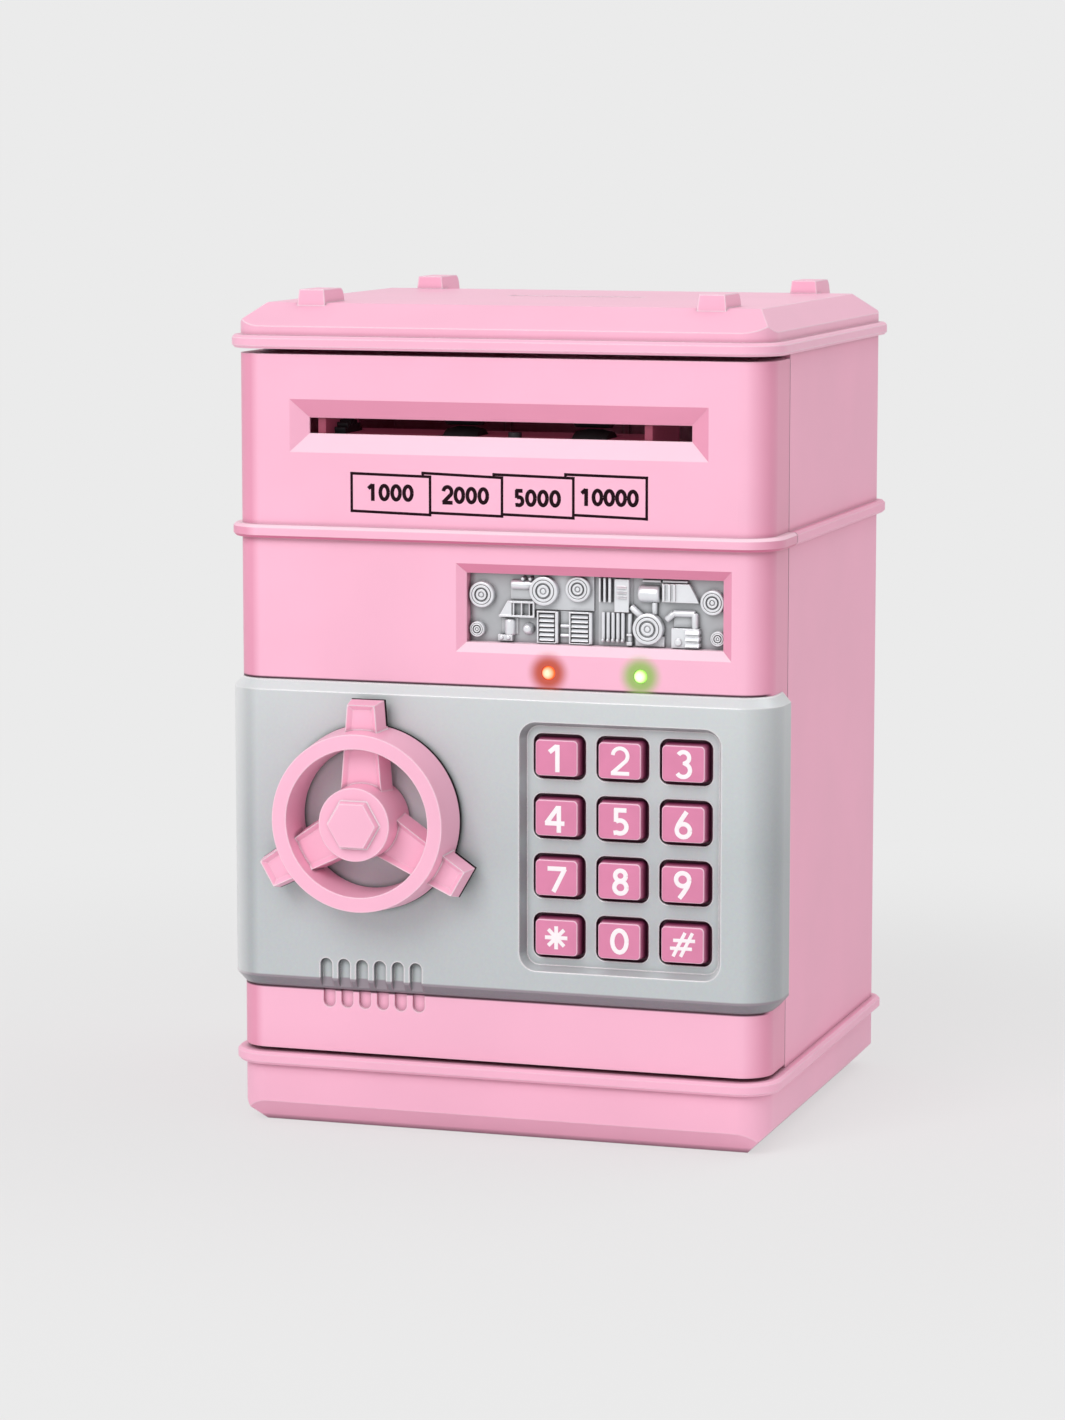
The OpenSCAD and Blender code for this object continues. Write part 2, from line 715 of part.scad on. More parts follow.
// Inner cover of the door, notched round the strike, with four ribs and a row of sound slots
module door_back() {
    half = inner_x - 1.1;
    left = -half + 3.5;
    top = 136.5;
    notch_half = strike_half + 1.5;
    slot_pitch = 3;
    color([0.86, 0.86, 0.85]) difference() {
        union() {
            block([left, back_y, door_z0 + 3.4], [half, back_y + back_t, top]);
            for (z = [40, 66, 96, 122]) block([left + 2.5, back_y - 1.2, z], [-20, back_y + eps, z + 1.2]);
        }
        block([strike_x - 1.1, back_y - 3, bar_z - notch_half], [side_x, back_y + 5, bar_z + notch_half]);
        for (p = door_screw_pos) rod_y(p, screw_r + 0.1, back_y - 1, back_y + 5);
        for (i = [0:5]) block([speaker_pos[0] - 14, back_y - 3, 29 + slot_pitch * i],
                              [speaker_pos[0] + 14, back_y + 5, 30.2 + slot_pitch * i]);
    }
}

// Four screws through the inner cover and the small ones that hold the boards and the feed frame
module door_screws() {
    color(steel) {
        for (p = door_screw_pos) translate([p[0], back_y + back_t, p[1]]) rotate([90, 0, 0]) screw(10);
        for (p = small_screws) {
            rod_y(p, small_r, door_in_y + 0.8, p[2]);
            rod_y(p, small_head_r, p[2], p[2] + 1);
        }
    }
}

// Control panel: a band of one profile round the front, with the keypad's sunk tray that passes
// through the door's wall, the key holes, the shaft hole and the vents
module control_panel() {
    profile = [
        [0, panel_z0], [panel_proud, panel_z0 + panel_bevel],
        [panel_proud, panel_z1 - panel_bevel], [0, panel_z1]
    ];
    back = recess_y + tray_t;
    color(silver_grey) difference() {
        union() {
            front_run(profile, front_y + panel_end, front_y + panel_end);
            pad([keypad_x, keypad_z], recess[0], recess[1], recess_r, front_y - eps, back);
        }
        dish([keypad_x, keypad_z], recess[0] - 2 * recess_slope, recess[1] - 2 * recess_slope,
             recess_r - recess_slope, recess_slope, panel_y, recess_y);
        for (i = [0:key_cols * key_rows - 1]) pad(key_centre(i), hole_w, hole_h, 2, recess_y - 1, back + 1);
        rod_y([knob_x, knob_z], knob_shaft_r + run_gap, panel_y - 1, front_y + 1);
        vent_row(panel_z0 - 4, vent_top, panel_y - 1, panel_y + 1.4);
    }
}

function key_centre(i) = [
    keypad_x + (i % key_cols - 1) * key_pitch_x,
    keypad_z + (1.5 - floor(i / key_cols)) * key_pitch_z
];

// Key cap with drafted sides, a flange that the panel keeps in, and a foot a key's travel above its dome
module key_cap(i) {
    c = key_centre(i);
    flange_y = recess_y + tray_t + 0.05;
    flange_t = 0.9;
    color(deep_pink) {
        dish(c, key_w, key_h, key_r, -key_draft, key_face_y, recess_y);
        pad(c, key_w, key_h, key_r, recess_y - eps, flange_y + eps);
        pad(c, hole_w + 1.2, hole_h + 1.4, 1.5, flange_y, flange_y + flange_t);
        pad(c, 6, 5, 1, flange_y + flange_t - eps, mat_y - dome_h - key_travel - 0.1);
    }
}

// Rubber mat with one dome under each key, lying on the keypad's board
module key_mat() {
    color([0.55, 0.55, 0.57]) {
        pad([keypad_x, keypad_z], mat_size[0], mat_size[1], 2, mat_y, mat_y + mat_t);
        for (i = [0:key_cols * key_rows - 1]) translate([key_centre(i)[0], mat_y + eps, key_centre(i)[1]])
            rotate([90, 0, 0]) cylinder(r1 = 3.6, r2 = 2.6, h = dome_h + eps);
    }
}

module keypad_board() {
    color(board_green) difference() {
        pad([keypad_x, keypad_z], board_size[0], board_size[1], 1, keypad_board_y, keypad_board_y + board_t);
        small_screw_holes();
    }
}

module small_screw_holes() {
    for (p = small_screws) rod_y(p, small_r + 0.1, front_y, back_y);
}

module led_board() {
    color(board_green) difference() {
        block([6, led_board_y, 102.6], [39.4, led_board_y + board_t, 109.2]);
        small_screw_holes();
    }
}

// Lamp: a round-nosed lens on a thin flange, with two legs to its board
module lamp(x) {
    nose_y = front_y + 0.4;
    flange_y = door_in_y + 0.1;
    rod_y([x, lamp_z], lamp_r, nose_y, flange_y + 1);
    translate([x, nose_y, lamp_z]) sphere(r = lamp_r);
    rod_y([x, lamp_z], lamp_r + 0.4, flange_y, flange_y + 1);
    for (s = [-0.7, 0.7]) block([x + s - 0.25, flange_y + 0.9, lamp_z - 0.25],
                                [x + s + 0.25, led_board_y, lamp_z + 0.25]);
}

module red_led() {
    color([0.95, 0.35, 0.15]) lamp(lamp_x[0]);
}

module green_led() {
    color([0.45, 0.95, 0.30]) lamp(lamp_x[1]);
}

// Main board with a potted chip, a socketed chip, two capacitors and a plug strip
module main_board() {
    y1 = main_board_y + board_t;
    color(board_green) difference() {
        block([-10, main_board_y, 20.4], [49, y1, 33.8]);
        small_screw_holes();
    }
    color(dark) {
        rod_y([10, 28.4], 5, y1 - eps, y1 + 1.6);
        block([22, y1 - eps, 24], [32, y1 + 1.8, 31]);
        for (x = [36, 41.5]) rod_y([x, 27], 2.4, y1 - eps, y1 + 6);
        block([-7, y1 - eps, 29], [2, y1 + 5, 33.4]);
    }
}

// Speaker: a rim against the front wall, a cone and a magnet
module speaker() {
    c = speaker_pos;
    rim_t = 1.6;
    cone_l = 2;
    color(dark) difference() {
        union() {
            rod_y(c, 14, door_in_y, door_in_y + rim_t);
            translate([c[0], door_in_y + rim_t - eps, c[1]]) rotate([-90, 0, 0])
                cylinder(r1 = 12.4, r2 = 7, h = cone_l);
            rod_y(c, 6.6, door_in_y + rim_t + cone_l - 0.6, door_in_y + rim_t + cone_l + 2.8);
        }
        translate([c[0], door_in_y - eps, c[1]]) rotate([-90, 0, 0]) cylinder(r1 = 11.5, r2 = 5, h = cone_l);
    }
}

// Pieces of the mechanical relief behind the window: a stepped disc, a slatted panel and a bank of ribs
module disc(x, z, r, h) {
    rod_y([x, z], r, relief_y - h, relief_y + eps);
    difference() {
        rod_y([x, z], r * 0.84, relief_y - h - 0.35, relief_y);
        rod_y([x, z], r * 0.62, relief_y - h - 1, relief_y - h);
    }
    rod_y([x, z], r * 0.44, relief_y - h - 0.35, relief_y);
    rod_y([x, z], r * 0.2, relief_y - h - 0.7, relief_y);
}

module louvre(x0, x1, z0, z1, n) {
    step = (z1 - z0 - 1) / n;
    difference() {
        block([x0, relief_y - 1.2, z0], [x1, relief_y + eps, z1]);
        block([x0 + 0.6, relief_y - 2, z0 + 0.6], [x1 - 0.6, relief_y - 0.5, z1 - 0.6]);
    }
    for (i = [0:n - 1]) block([x0 + 0.4, relief_y - 1.1, z0 + 0.8 + i * step],
                              [x1 - 0.4, relief_y, z0 + 0.8 + (i + 0.5) * step]);
}

// Upright ribs, the even ones lower than the odd ones
module rib_bank(x0, x1, z0, z1, n, h) {
    step = (x1 - x0) / n;
    for (i = [0:n - 1]) block([x0 + i * step, relief_y - h + (i % 2) * 0.6, z0],
                              [x0 + (i + 0.72) * step, relief_y, z1]);
}

// What stands on the relief plate, measured from the window's lower left corner, h standing out
RELIEF_DISCS = [ // x, z, radius, h
    [2.9, 10.7, 2.9, 1.6], [2.1, 2.6, 1.7, 1.6], [17.5, 11.6, 3.3, 1.8], [25.4, 12.2, 2.8, 1.4],
    [41.4, 4.4, 3.4, 1.9], [55.8, 10.4, 2.9, 1.7], [56.8, 2.5, 1.7, 1.6], [13.3, 3, 1.4, 0.9]
];
RELIEF_LOUVRES = [ // x0, x1, z0, z1, slats
    [15.6, 20.6, 0.4, 7.6, 5], [23, 28.3, 0.4, 7.6, 5]
];
RELIEF_RIBS = [ // x0, x1, z0, z1, ribs, h
    [7.2, 14.4, 6.2, 9.4, 5, 1.5], [30.2, 33.4, 8.6, 15.4, 3, 1.9],
    [31, 36.6, 0.6, 7.6, 4, 1.7], [44, 48.6, 10.4, 14.9, 3, 1.5]
];
RELIEF_PIPES = [ // x0, x1, z, radius, depth of the axis behind the plate's face
    [9.6, 15, 12.8, 1.1, 0.2], [39.4, 44, 13, 1.8, 0.4], [45.8, 50.4, 7.8, 0.8, 0.3]
];
RELIEF_BOXES = [ // x0, x1, z0, z1, h
    [6.6, 15, 5.8, 9.8, 0.8], [8, 10.8, 0, 5, 1.1], [33.4, 37.6, 7.6, 14.6, 1.5],
    [48.4, 52, 10.4, 13, 1], [42.6, 44, 7.4, 10.6, 1.1], [45.4, 51.8, 0, 4.4, 1.6],
    [49.6, 51.2, 4.2, 8.2, 1.1], [28.3, 31, 2, 3.2, 0.6], [20.6, 23, 3.6, 4.8, 0.6]
];

module relief_plate() {
    left = window_x - window_w / 2;
    low = window_z - window_h / 2;
    rim = 2.4;
    color(relief_silver) {
        block([left - rim, relief_y, low - rim],
              [left + window_w + rim, relief_y + 1.4, low + window_h + rim]);
        translate([left, 0, low]) {
            for (d = RELIEF_DISCS) disc(d[0], d[1], d[2], d[3]);
            for (l = RELIEF_LOUVRES) louvre(l[0], l[1], l[2], l[3], l[4]);
            for (b = RELIEF_RIBS) rib_bank(b[0], b[1], b[2], b[3], b[4], b[5]);
            for (p = RELIEF_PIPES) rod_x([relief_y - p[4], p[2]], p[3], p[0], p[1]);
            for (b = RELIEF_BOXES) block([b[0], relief_y - b[4], b[2]], [b[1], relief_y + eps, b[3]]);
            for (x = [11.4, 13.4]) rod_y([x, 14.4], 0.7, relief_y - 1.3, relief_y);
            for (i = [0:2]) {
                block([34.2, relief_y - 1.9, 10.8 + i], [36.8, relief_y, 11.2 + i]);
                block([48.8, relief_y - 2, 0.6 + i * 1.3], [52.6, relief_y, 1.3 + i * 1.3]);
            }
            for (d = [0:0.8:2.4]) rod_y([38 + d, 9.4 - d], 0.8, relief_y - 1.1, relief_y);
        }
    }
}

// Handwheel: drafted rim, three spokes that pass the rim as lugs, hub with a six-sided nose
module knob() {
    color(pink) translate([knob_x, 0, knob_z]) difference() {
        union() {
            rotate([90, 0, 0]) rotate_extrude() polygon([
                [knob_bore_r - rim_draft, -rim_y1], [knob_r, -rim_y1],
                [knob_r - rim_draft, -rim_y0], [knob_bore_r, -rim_y0]
            ]);
            for (a = [0, 120, 240]) rotate([0, a, 0]) spoke();
            translate([0, hub_y1, 0]) rotate([90, 0, 0])
                cylinder(r1 = hub_r + hub_draft, r2 = hub_r, h = hub_y1 - hub_y0);
            translate([0, hub_y0 + eps, 0]) rotate([90, 0, 0])
                cylinder(r = 5.6, h = hub_y0 - hex_y0 + eps, $fn = 6);
        }
        rod_y([0, 0], knob_shaft_r, hub_y0 + 2, panel_y + 1);
    }
}

// One spoke, pointing up: a bar that tapers outwards and to the front, its face sunk within a border
module spoke() {
    root = hub_r - 2;
    tip = knob_r + 5.5;
    half = 5.3;
    taper = 4.6;
    draft = 0.8;
    border = 1.2;
    sink = 0.7;
    flank = [[-half - 10, spoke_y1], [half + draft, spoke_y1], [half, spoke_y0], [-half - 10, spoke_y0]];
    ends = [[spoke_y1, root], [spoke_y1, tip + draft], [spoke_y0, tip], [spoke_y0, root]];
    channel = [for (p = [[-1, 0], [1, 0], [1, tip - border], [-1, tip - border]])
        [p[0] * (half - border - p[1] * tan(taper)), p[1]]];
    difference() {
        intersection() {
            flank_block(taper, flank, tip + 4);
            mirror([1, 0, 0]) flank_block(taper, flank, tip + 4);
            translate([-half - 2, 0, 0]) rotate([90, 0, 90]) linear_extrude(2 * half + 4) polygon(ends);
        }
        translate([0, spoke_y0 + sink, 0]) rotate([90, 0, 0]) linear_extrude(sink + 1) polygon(channel);
    }
}

// A long block bounded on its right by the spoke's leaning flank
module flank_block(lean, outline, length) {
    rotate([0, -lean, 0]) linear_extrude(length) polygon(outline);
}

module knob_shaft() {
    color(steel) rod_y([knob_x, knob_z], knob_shaft_r, hub_y0 + 2, front_y + 8);
}

// Spring clip behind the door wall that keeps the shaft from pulling out
module shaft_clip() {
    y0 = front_y + 3.2;
    color(steel) difference() {
        rod_y([knob_x, knob_z], 4.4, y0, y0 + 0.7);
        rod_y([knob_x, knob_z], knob_shaft_r, y0 - 1, y0 + 2);
        block([knob_x - 1.5, y0 - 1, knob_z - 6], [knob_x + 1.5, y0 + 2, knob_z]);
    }
}

// Crank: a plate on the shaft with a pin that works in the bolt's upright slot
module crank() {
    y0 = front_y + 5.5;
    y1 = y0 + 2.4;
    arm_half = 2.6;
    color(steel) translate([knob_x, 0, knob_z]) rotate([0, -crank_half, 0]) difference() {
        union() {
            rod_y([0, 0], 4.6, y0, y1);
            block([-arm_half, y0, 0], [arm_half, y1, crank_r]);
            rod_y([0, crank_r], arm_half, y0, y1);
            rod_y([0, crank_r], crank_pin_r, y0, bar_y0 + bar_t + 0.8);
        }
        rod_y([0, 0], knob_shaft_r, y0 - 1, y1 + 1);
    }
}

// Bolt: drawn at rest, it moves right by bolt_throw to enter the strike
module latch_bar() {
    pin_x = knob_x - bolt_throw / 2;
    y1 = bar_y0 + bar_t;
    slot_half = crank_pin_r + 0.2;
    notch_half = lock_r + 0.2;
    color(steel) difference() {
        union() {
            block([pin_x - 5.6, bar_y0, bar_z - 4.6], [pin_x + 5.6, y1, bar_z + 4.6]);
            block([pin_x, bar_y0, bar_z - bar_half], [bolt_end - bolt_throw, y1, bar_z + bar_half]);
        }
        block([pin_x - slot_half, bar_y0 - 1, bar_z - 2.4], [pin_x + slot_half, y1 + 1, bar_z + 2.4]);
        for (x = [lock_x, lock_x - bolt_throw])
            block([x - notch_half, bar_y0 - 1, bar_z - bar_half - 1],
                  [x + notch_half, y1 + 1, bar_z - bar_half + lock_lift - 0.1]);
        translate([bolt_end - bolt_throw, 0, bar_z + bar_half]) rotate([0, 45, 0])
            translate([-1, bar_y0 - 1, -1]) cube([2, bar_t + 2, 2]);
    }
}

// Two guides on the inner cover that the bolt slides in
module latch_guides() {
    gap = 0.15;
    color(dark) for (x = guide_x) difference() {
        block([x, bar_y0 - 0.9, bar_z - 5.2], [x + 3, back_y, bar_z + 5.2]);
        block([x - 1, bar_y0 - gap, bar_z - bar_half - gap],
              [x + 4, bar_y0 + bar_t + gap, bar_z + bar_half + gap]);
    }
}

// Yoke of the lock solenoid: a bent steel strip with a rivet, standing on the inner cover
module solenoid_frame() {
    left = lock_x - yoke_w / 2;
    color(steel) difference() {
        block([left, yoke_y0, yoke_top - yoke_h], [left + yoke_w, back_y, yoke_top]);
        block([left + yoke_t, yoke_y0 - 1, yoke_top - yoke_h + yoke_t],
              [left + yoke_w + 1, back_y + 1, yoke_top - yoke_t]);
        rod_z([lock_x, bar_mid_y], plunger_r + 0.08, yoke_top - yoke_h - 1, yoke_top + 1);
    }
    color(steel) rod_x([bar_mid_y, yoke_top - yoke_h / 2], 0.9, left - 1, left + eps);
}

// Wound bobbin that fills the yoke from end to end
module solenoid_coil() {
    foot = yoke_top - yoke_h + yoke_t;
    head = yoke_top - yoke_t;
    flange_t = 0.9;
    c = [lock_x, bar_mid_y];
    color([0.72, 0.38, 0.18]) difference() {
        union() {
            rod_z(c, 3.9, foot, head);
            for (z = [foot, head - flange_t]) rod_z(c, 4.2, z, z + flange_t);
        }
        rod_z(c, plunger_r + 0.08, foot - 1, head + 1);
    }
}

// Plunger: a thick lower part, a thinner nose and a collar under the yoke that stops it when it has risen
module lock_pin() {
    c = [lock_x, bar_mid_y];
    collar_top = yoke_top - yoke_h - lock_lift - 0.2;
    color(steel) {
        rod_z(c, plunger_r, collar_top + 1.2, lock_top - 4.5);
        rod_z(c, lock_r, lock_top - 5, lock_top);
        rod_z(c, 3, collar_top - 1, collar_top);
        rod_z(c, 1.2, collar_top - 0.5, collar_top + 1.7);
    }
}

// Feed frame: two side plates, a lower and an upper guide, a motor cradle and four ears
module feed_frame() {
    y0 = door_in_y + 0.3;
    y1 = front_y + 24.5;
    side = [
        [y0, frame_z0], [y1 - 4, frame_z0], [y1, frame_z0 + 7],
        [y1, frame_z1 - 5], [y1 - 4, frame_z1], [y0, frame_z1]
    ];
    drive_cut = roller_w / 2 + 0.8;
    idler_cut = roller_w / 2 + 0.4;
    color(pink) difference() {
        union() {
            for (x = [frame_x0, frame_x1 - plate_t]) translate([x, 0, 0]) rotate([90, 0, 90])
                linear_extrude(plate_t) polygon(side);
            for (z = [guide_low - guide_t, guide_high])
                block([frame_x0 + 1, y0, z], [frame_x1 - 1, y1 - 1, z + guide_t]);
            for (x = ear_x, z = ear_z) block([x - 3.6, ear_y, z - 3], [x + 3.6, ear_y + board_t, z + 3]);
            block([cradle_x, pinion[0] - motor_r - 1.4, pinion[1] - motor_flat - 1.4],
                  [cradle_x + cradle_w, pinion[0] + motor_r + 1.4, pinion[1] + motor_flat + 1.4]);
            block([cradle_x, pinion[0] - 2.5, pinion[1] + motor_flat],
                  [cradle_x + cradle_w, pinion[0] + 2.5, guide_low - guide_t + eps]);
        }
        rod_x(drive, bush_r, frame_x0 - 1, frame_x1 + 1);
        rod_x(idler, idler_shaft_r + run_gap, frame_x0 - 1, frame_x1 + 1);
        for (x = roller_x) {
            block([x - drive_cut, drive[0] - 6.6, guide_low - 3],
                  [x + drive_cut, drive[0] + 6.6, guide_low + 1]);
            block([x - idler_cut, idler[0] - 4.4, guide_high - 1],
                  [x + idler_cut, idler[0] + 4.4, guide_high + 3]);
        }
        block([gear_x - 0.5, drive[0] - 8.9, guide_low - 3],
              [gear_x + gear_w + 0.5, drive[0] + 8.9, guide_low + 1]);
        motor_can();
        rod_z([sensor_x, front_y + 6], sensor_r + 0.1, guide_low - 3, guide_low + 1);
        small_screw_holes();
    }
}

// Flat-sided can of the motor, lying along X
module motor_can() {
    intersection() {
        rod_x(pinion, motor_r, motor_x, motor_x + motor_l);
        block([motor_x, pinion[0] - motor_r, pinion[1] - motor_flat],
              [motor_x + motor_l, pinion[0] + motor_r, pinion[1] + motor_flat]);
    }
}

module feed_motor() {
    color(steel) difference() {
        union() {
            motor_can();
            rod_x(pinion, 2, motor_x - 0.4, motor_x + 1);
            rod_x(pinion, 2.4, motor_x + motor_l - eps, motor_x + motor_l + 1.2);
        }
        rod_x(pinion, pinion_shaft_r + run_gap, motor_x - 1, motor_x + 6);
    }
}

module feed_bushes() {
    stand = 0.4;
    color(brass) for (x = [frame_x0 - stand, frame_x1 - plate_t - stand]) difference() {
        rod_x(drive, bush_r, x, x + plate_t + 2 * stand);
        rod_x(drive, shaft_r + run_gap, x - 1, x + 5);
    }
}

// Light gate under the lower guide: a flat body with a post that looks into the note's path
module note_sensor() {
    board_top = guide_low - guide_t;
    color(dark) block([sensor_x - 4, front_y + 3.2, board_top - 1.2],
                      [sensor_x + 4, front_y + 8.2, board_top]);
    color(dark) rod_z([sensor_x, front_y + 6], sensor_r, board_top - eps, slot_z - 0.8);
}

module drive_shaft() {
    color(steel) rod_x(drive, shaft_r, frame_x0 - 1.5, frame_x1 + 1.5);
}

// Rubber rollers with a slight crown
module drive_rollers() {
    color(dark) for (x = roller_x) difference() {
        union() {
            rod_x(drive, drive_r, x - 1.5, x + 1.5);
            for (s = [-1, 1]) translate([x + s * 1.5, drive[0], drive[1]]) rotate([0, s * 90, 0])
                cylinder(r1 = drive_r, r2 = drive_r - 0.5, h = roller_w / 2 - 1.5);
        }
        rod_x(drive, shaft_r, x - 10, x + 10);
    }
}

// Spur gear: involute flanks worked out from the base circle, thinned for backlash
function inv(a) = tan(a) * 180 / PI - a;
function flank(n, r, slack) =
    let (pitch_r = n * gear_m / 2, base_r = pitch_r * cos(20), a = acos(min(1, base_r / r)))
    90 / n - slack + inv(20) - inv(a);

module gear(n, w) {
    pitch_r = n * gear_m / 2;
    base_r = pitch_r * cos(20);
    root_r = pitch_r - 1.25 * gear_m;
    tip_r = pitch_r + 0.92 * gear_m;
    low_r = max(base_r, root_r + 0.05);
    slack = 0.05 / pitch_r * 180 / PI;
    steps = 4;
    radii = [for (k = [0:steps]) low_r + (tip_r - low_r) * k / steps];
    points = [for (i = [0:n - 1]) let (mid = i * 360 / n) each concat(
        [[root_r, mid - flank(n, low_r, slack) - 1]],
        [for (k = [0:steps]) [radii[k], mid - flank(n, radii[k], slack)]],
        [for (k = [steps:-1:0]) [radii[k], mid + flank(n, radii[k], slack)]],
        [[root_r, mid + flank(n, low_r, slack) + 1]]
    )];
    linear_extrude(w) polygon([for (p = points) [p[0] * cos(p[1]), p[0] * sin(p[1])]]);
}

// Places a gear that lies in the plan plane upright in the YZ plane, its first tooth at the angle a from +Y
module upright(p, x, a) {
    translate([x, p[0], p[1]]) rotate([90, 0, 90]) rotate([0, 0, a]) children();
}

module drive_gear() {
    color(dark) difference() {
        union() {
            upright(drive, gear_x, mesh_angle) gear(gear_teeth, gear_w);
            rod_x(drive, 3.2, gear_x, gear_x + gear_w + 1.6);
        }
        rod_x(drive, shaft_r, gear_x - 1, gear_x + 10);
        for (a = [0:60:300]) upright(drive, gear_x + 1.9, a) translate([5, 0, 0]) cylinder(r = 1.2, h = 2);
    }
}

module motor_pinion() {
    color(brass) upright(pinion, gear_x, mesh_angle + 180 + 180 / pinion_teeth)
        gear(pinion_teeth, gear_w + 0.4);
    color(steel) rod_x(pinion, pinion_shaft_r, gear_x - 0.2, motor_x + 5);
}

module idler_shaft() {
    color(steel) rod_x(idler, idler_shaft_r, frame_x0 - 1, frame_x1 + 1);
}

module idler_rollers() {
    color(dark) for (x = roller_x) difference() {
        rod_x(idler, idler_r, x - roller_w / 2, x + roller_w / 2);
        rod_x(idler, idler_shaft_r, x - 10, x + 10);
    }
}

base_tray();
floor_plate();
battery_cover();
battery_cells();
battery_contacts();
base_screws();
case_shell();
strike_plate();
lid();
lid_screws();
hinge_pins();
door_shell();
door_back();
door_screws();
control_panel();
relief_plate();
red_led();
green_led();
led_board();
key_mat();
keypad_board();
main_board();
speaker();
latch_guides();
solenoid_frame();
solenoid_coil();
feed_frame();
feed_bushes();
feed_motor();
note_sensor();
knob();
knob_shaft();
shaft_clip();
crank();
latch_bar();
lock_pin();
drive_shaft();
drive_rollers();
drive_gear();
motor_pinion();
idler_shaft();
idler_rollers();
for (i = [0:key_cols * key_rows - 1])
    key_cap(i);
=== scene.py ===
"""Looks of the automatic coin bank: finishes, handwheel, keys, signs, lamps and the studio around it."""

from collections import namedtuple
from math import cos, pi, radians, sin

import bmesh
import bpy
from bpy.props import FloatProperty, FloatVectorProperty, PointerProperty
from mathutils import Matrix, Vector


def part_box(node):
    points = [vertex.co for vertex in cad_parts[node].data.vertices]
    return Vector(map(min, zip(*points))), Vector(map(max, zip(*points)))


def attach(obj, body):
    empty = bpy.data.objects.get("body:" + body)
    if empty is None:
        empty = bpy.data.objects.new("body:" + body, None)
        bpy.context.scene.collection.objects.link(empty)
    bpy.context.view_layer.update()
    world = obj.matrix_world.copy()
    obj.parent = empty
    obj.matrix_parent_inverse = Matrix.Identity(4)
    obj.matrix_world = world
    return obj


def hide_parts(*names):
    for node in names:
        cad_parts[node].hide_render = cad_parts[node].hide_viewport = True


bl_info = {
    "name": "Automatic coin bank",
    "version": (1, 0, 0),
    "blender": (4, 5, 0),
    "location": "View3D > Sidebar > Coin bank",
    "description": "Dresses the coin bank's CAD frame piece by piece",
    "category": "Object",
}

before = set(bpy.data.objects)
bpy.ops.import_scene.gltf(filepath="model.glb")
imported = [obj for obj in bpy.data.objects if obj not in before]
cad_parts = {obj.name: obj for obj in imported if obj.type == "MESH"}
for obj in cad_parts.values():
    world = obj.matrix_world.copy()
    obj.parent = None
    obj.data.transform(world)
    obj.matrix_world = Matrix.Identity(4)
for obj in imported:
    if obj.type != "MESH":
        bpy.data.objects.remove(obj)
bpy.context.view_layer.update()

MM = 0.001
PANEL_Y = -54.5 * MM  # front of the control panel
FRONT_Y = -52.5 * MM  # front of the door
KEY_FACE_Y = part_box("key_5")[0].y
RELIEF_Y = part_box("relief_plate")[1].y - 1.4 * MM  # ground that the relief stands on
INK = 0.08 * MM  # thickness of a printed line
KNOB = Vector((-28.3, 0, 72.5)) * MM  # axis of the handwheel
KEYS = [f"key_{sign}" for sign in (*"123456789", "star", "0", "hash")]
LED_Z = 106.1 * MM
# glow is the colour of the painted light that each lamp casts on the wall round it
Led = namedtuple("Led", "node x slot glow core rim")
LEDS = (Led("red_led", 12.1 * MM, "red_lens", glow="#b9481f", core="#ffe6c8", rim="#e8622a"),
        Led("green_led", 33.2 * MM, "green_lens", glow="#8fb65c", core="#fbfff0", rim="#9ad35c"))
WHITE, BLACK = (1, 1, 1, 1), (0, 0, 0, 1)


def srgb(code):
    """A written sRGB colour such as #f9bfd6 as linear values with alpha."""
    parts = [int(code[i:i + 2], 16) / 255 for i in (1, 3, 5)]
    return tuple(c / 12.92 if c <= 0.04045 else ((c + 0.055) / 1.055) ** 2.4 for c in parts) + (1.0,)


def colour_property(name, description, code):
    return FloatVectorProperty(
        name=name, description=description, default=srgb(code), size=4, min=0, max=1, subtype="COLOR")


def length_property(name, description, default_mm, low_mm, high_mm):
    return FloatProperty(
        name=name, description=description, default=default_mm * MM, min=low_mm * MM, max=high_mm * MM,
        precision=5, subtype="DISTANCE", unit="LENGTH")


def power_property(name, description, watts):
    return FloatProperty(
        name=name, description=description, default=watts, min=0, max=60, subtype="POWER", unit="POWER")


class BankColours(bpy.types.PropertyGroup):
    body: colour_property("Body", "Pink of the case, the door, the lid and the handwheel", "#f7b9d1")
    panel: colour_property("Panel", "Silver-grey paint of the control panel", "#bfc5c7")
    keys: colour_property("Keys", "Deeper pink of the keys", "#dc85a9")
    signs: colour_property("Signs", "Ink of the signs on the keys", "#fbf3f6")
    print: colour_property("Number boxes", "Ink of the number boxes", "#1d0610")
    relief: colour_property("Relief", "Silver paint of the relief behind the window", "#e9ebef")


class BankSizes(bpy.types.PropertyGroup):
    edge: length_property("Edge", "Radius that the mould leaves on the case's edges", 0.35, 0.05, 1)
    wheel_edge: length_property("Wheel edge", "Radius on the handwheel's rim", 0.12, 0.05, 1.4)
    spoke_edge: length_property("Spoke edge", "Radius on the spokes and lugs", 0.06, 0.03, 0.6)
    key_edge: length_property("Key edge", "Radius round a key's face", 0.24, 0.1, 0.6)
    key_line: length_property("Sign line", "Width of the lines of the signs on the keys", 1.05, 0.6, 1.3)
    print_line: length_property("Number line", "Width of the lines of the numbers", 0.88, 0.4, 0.9)
    box_line: length_property("Box line", "Width of the lines round the numbers", 0.62, 0.2, 0.8)
    relief_edge: length_property("Relief edge", "Radius on the edges of the relief", 0.09, 0.03, 0.2)


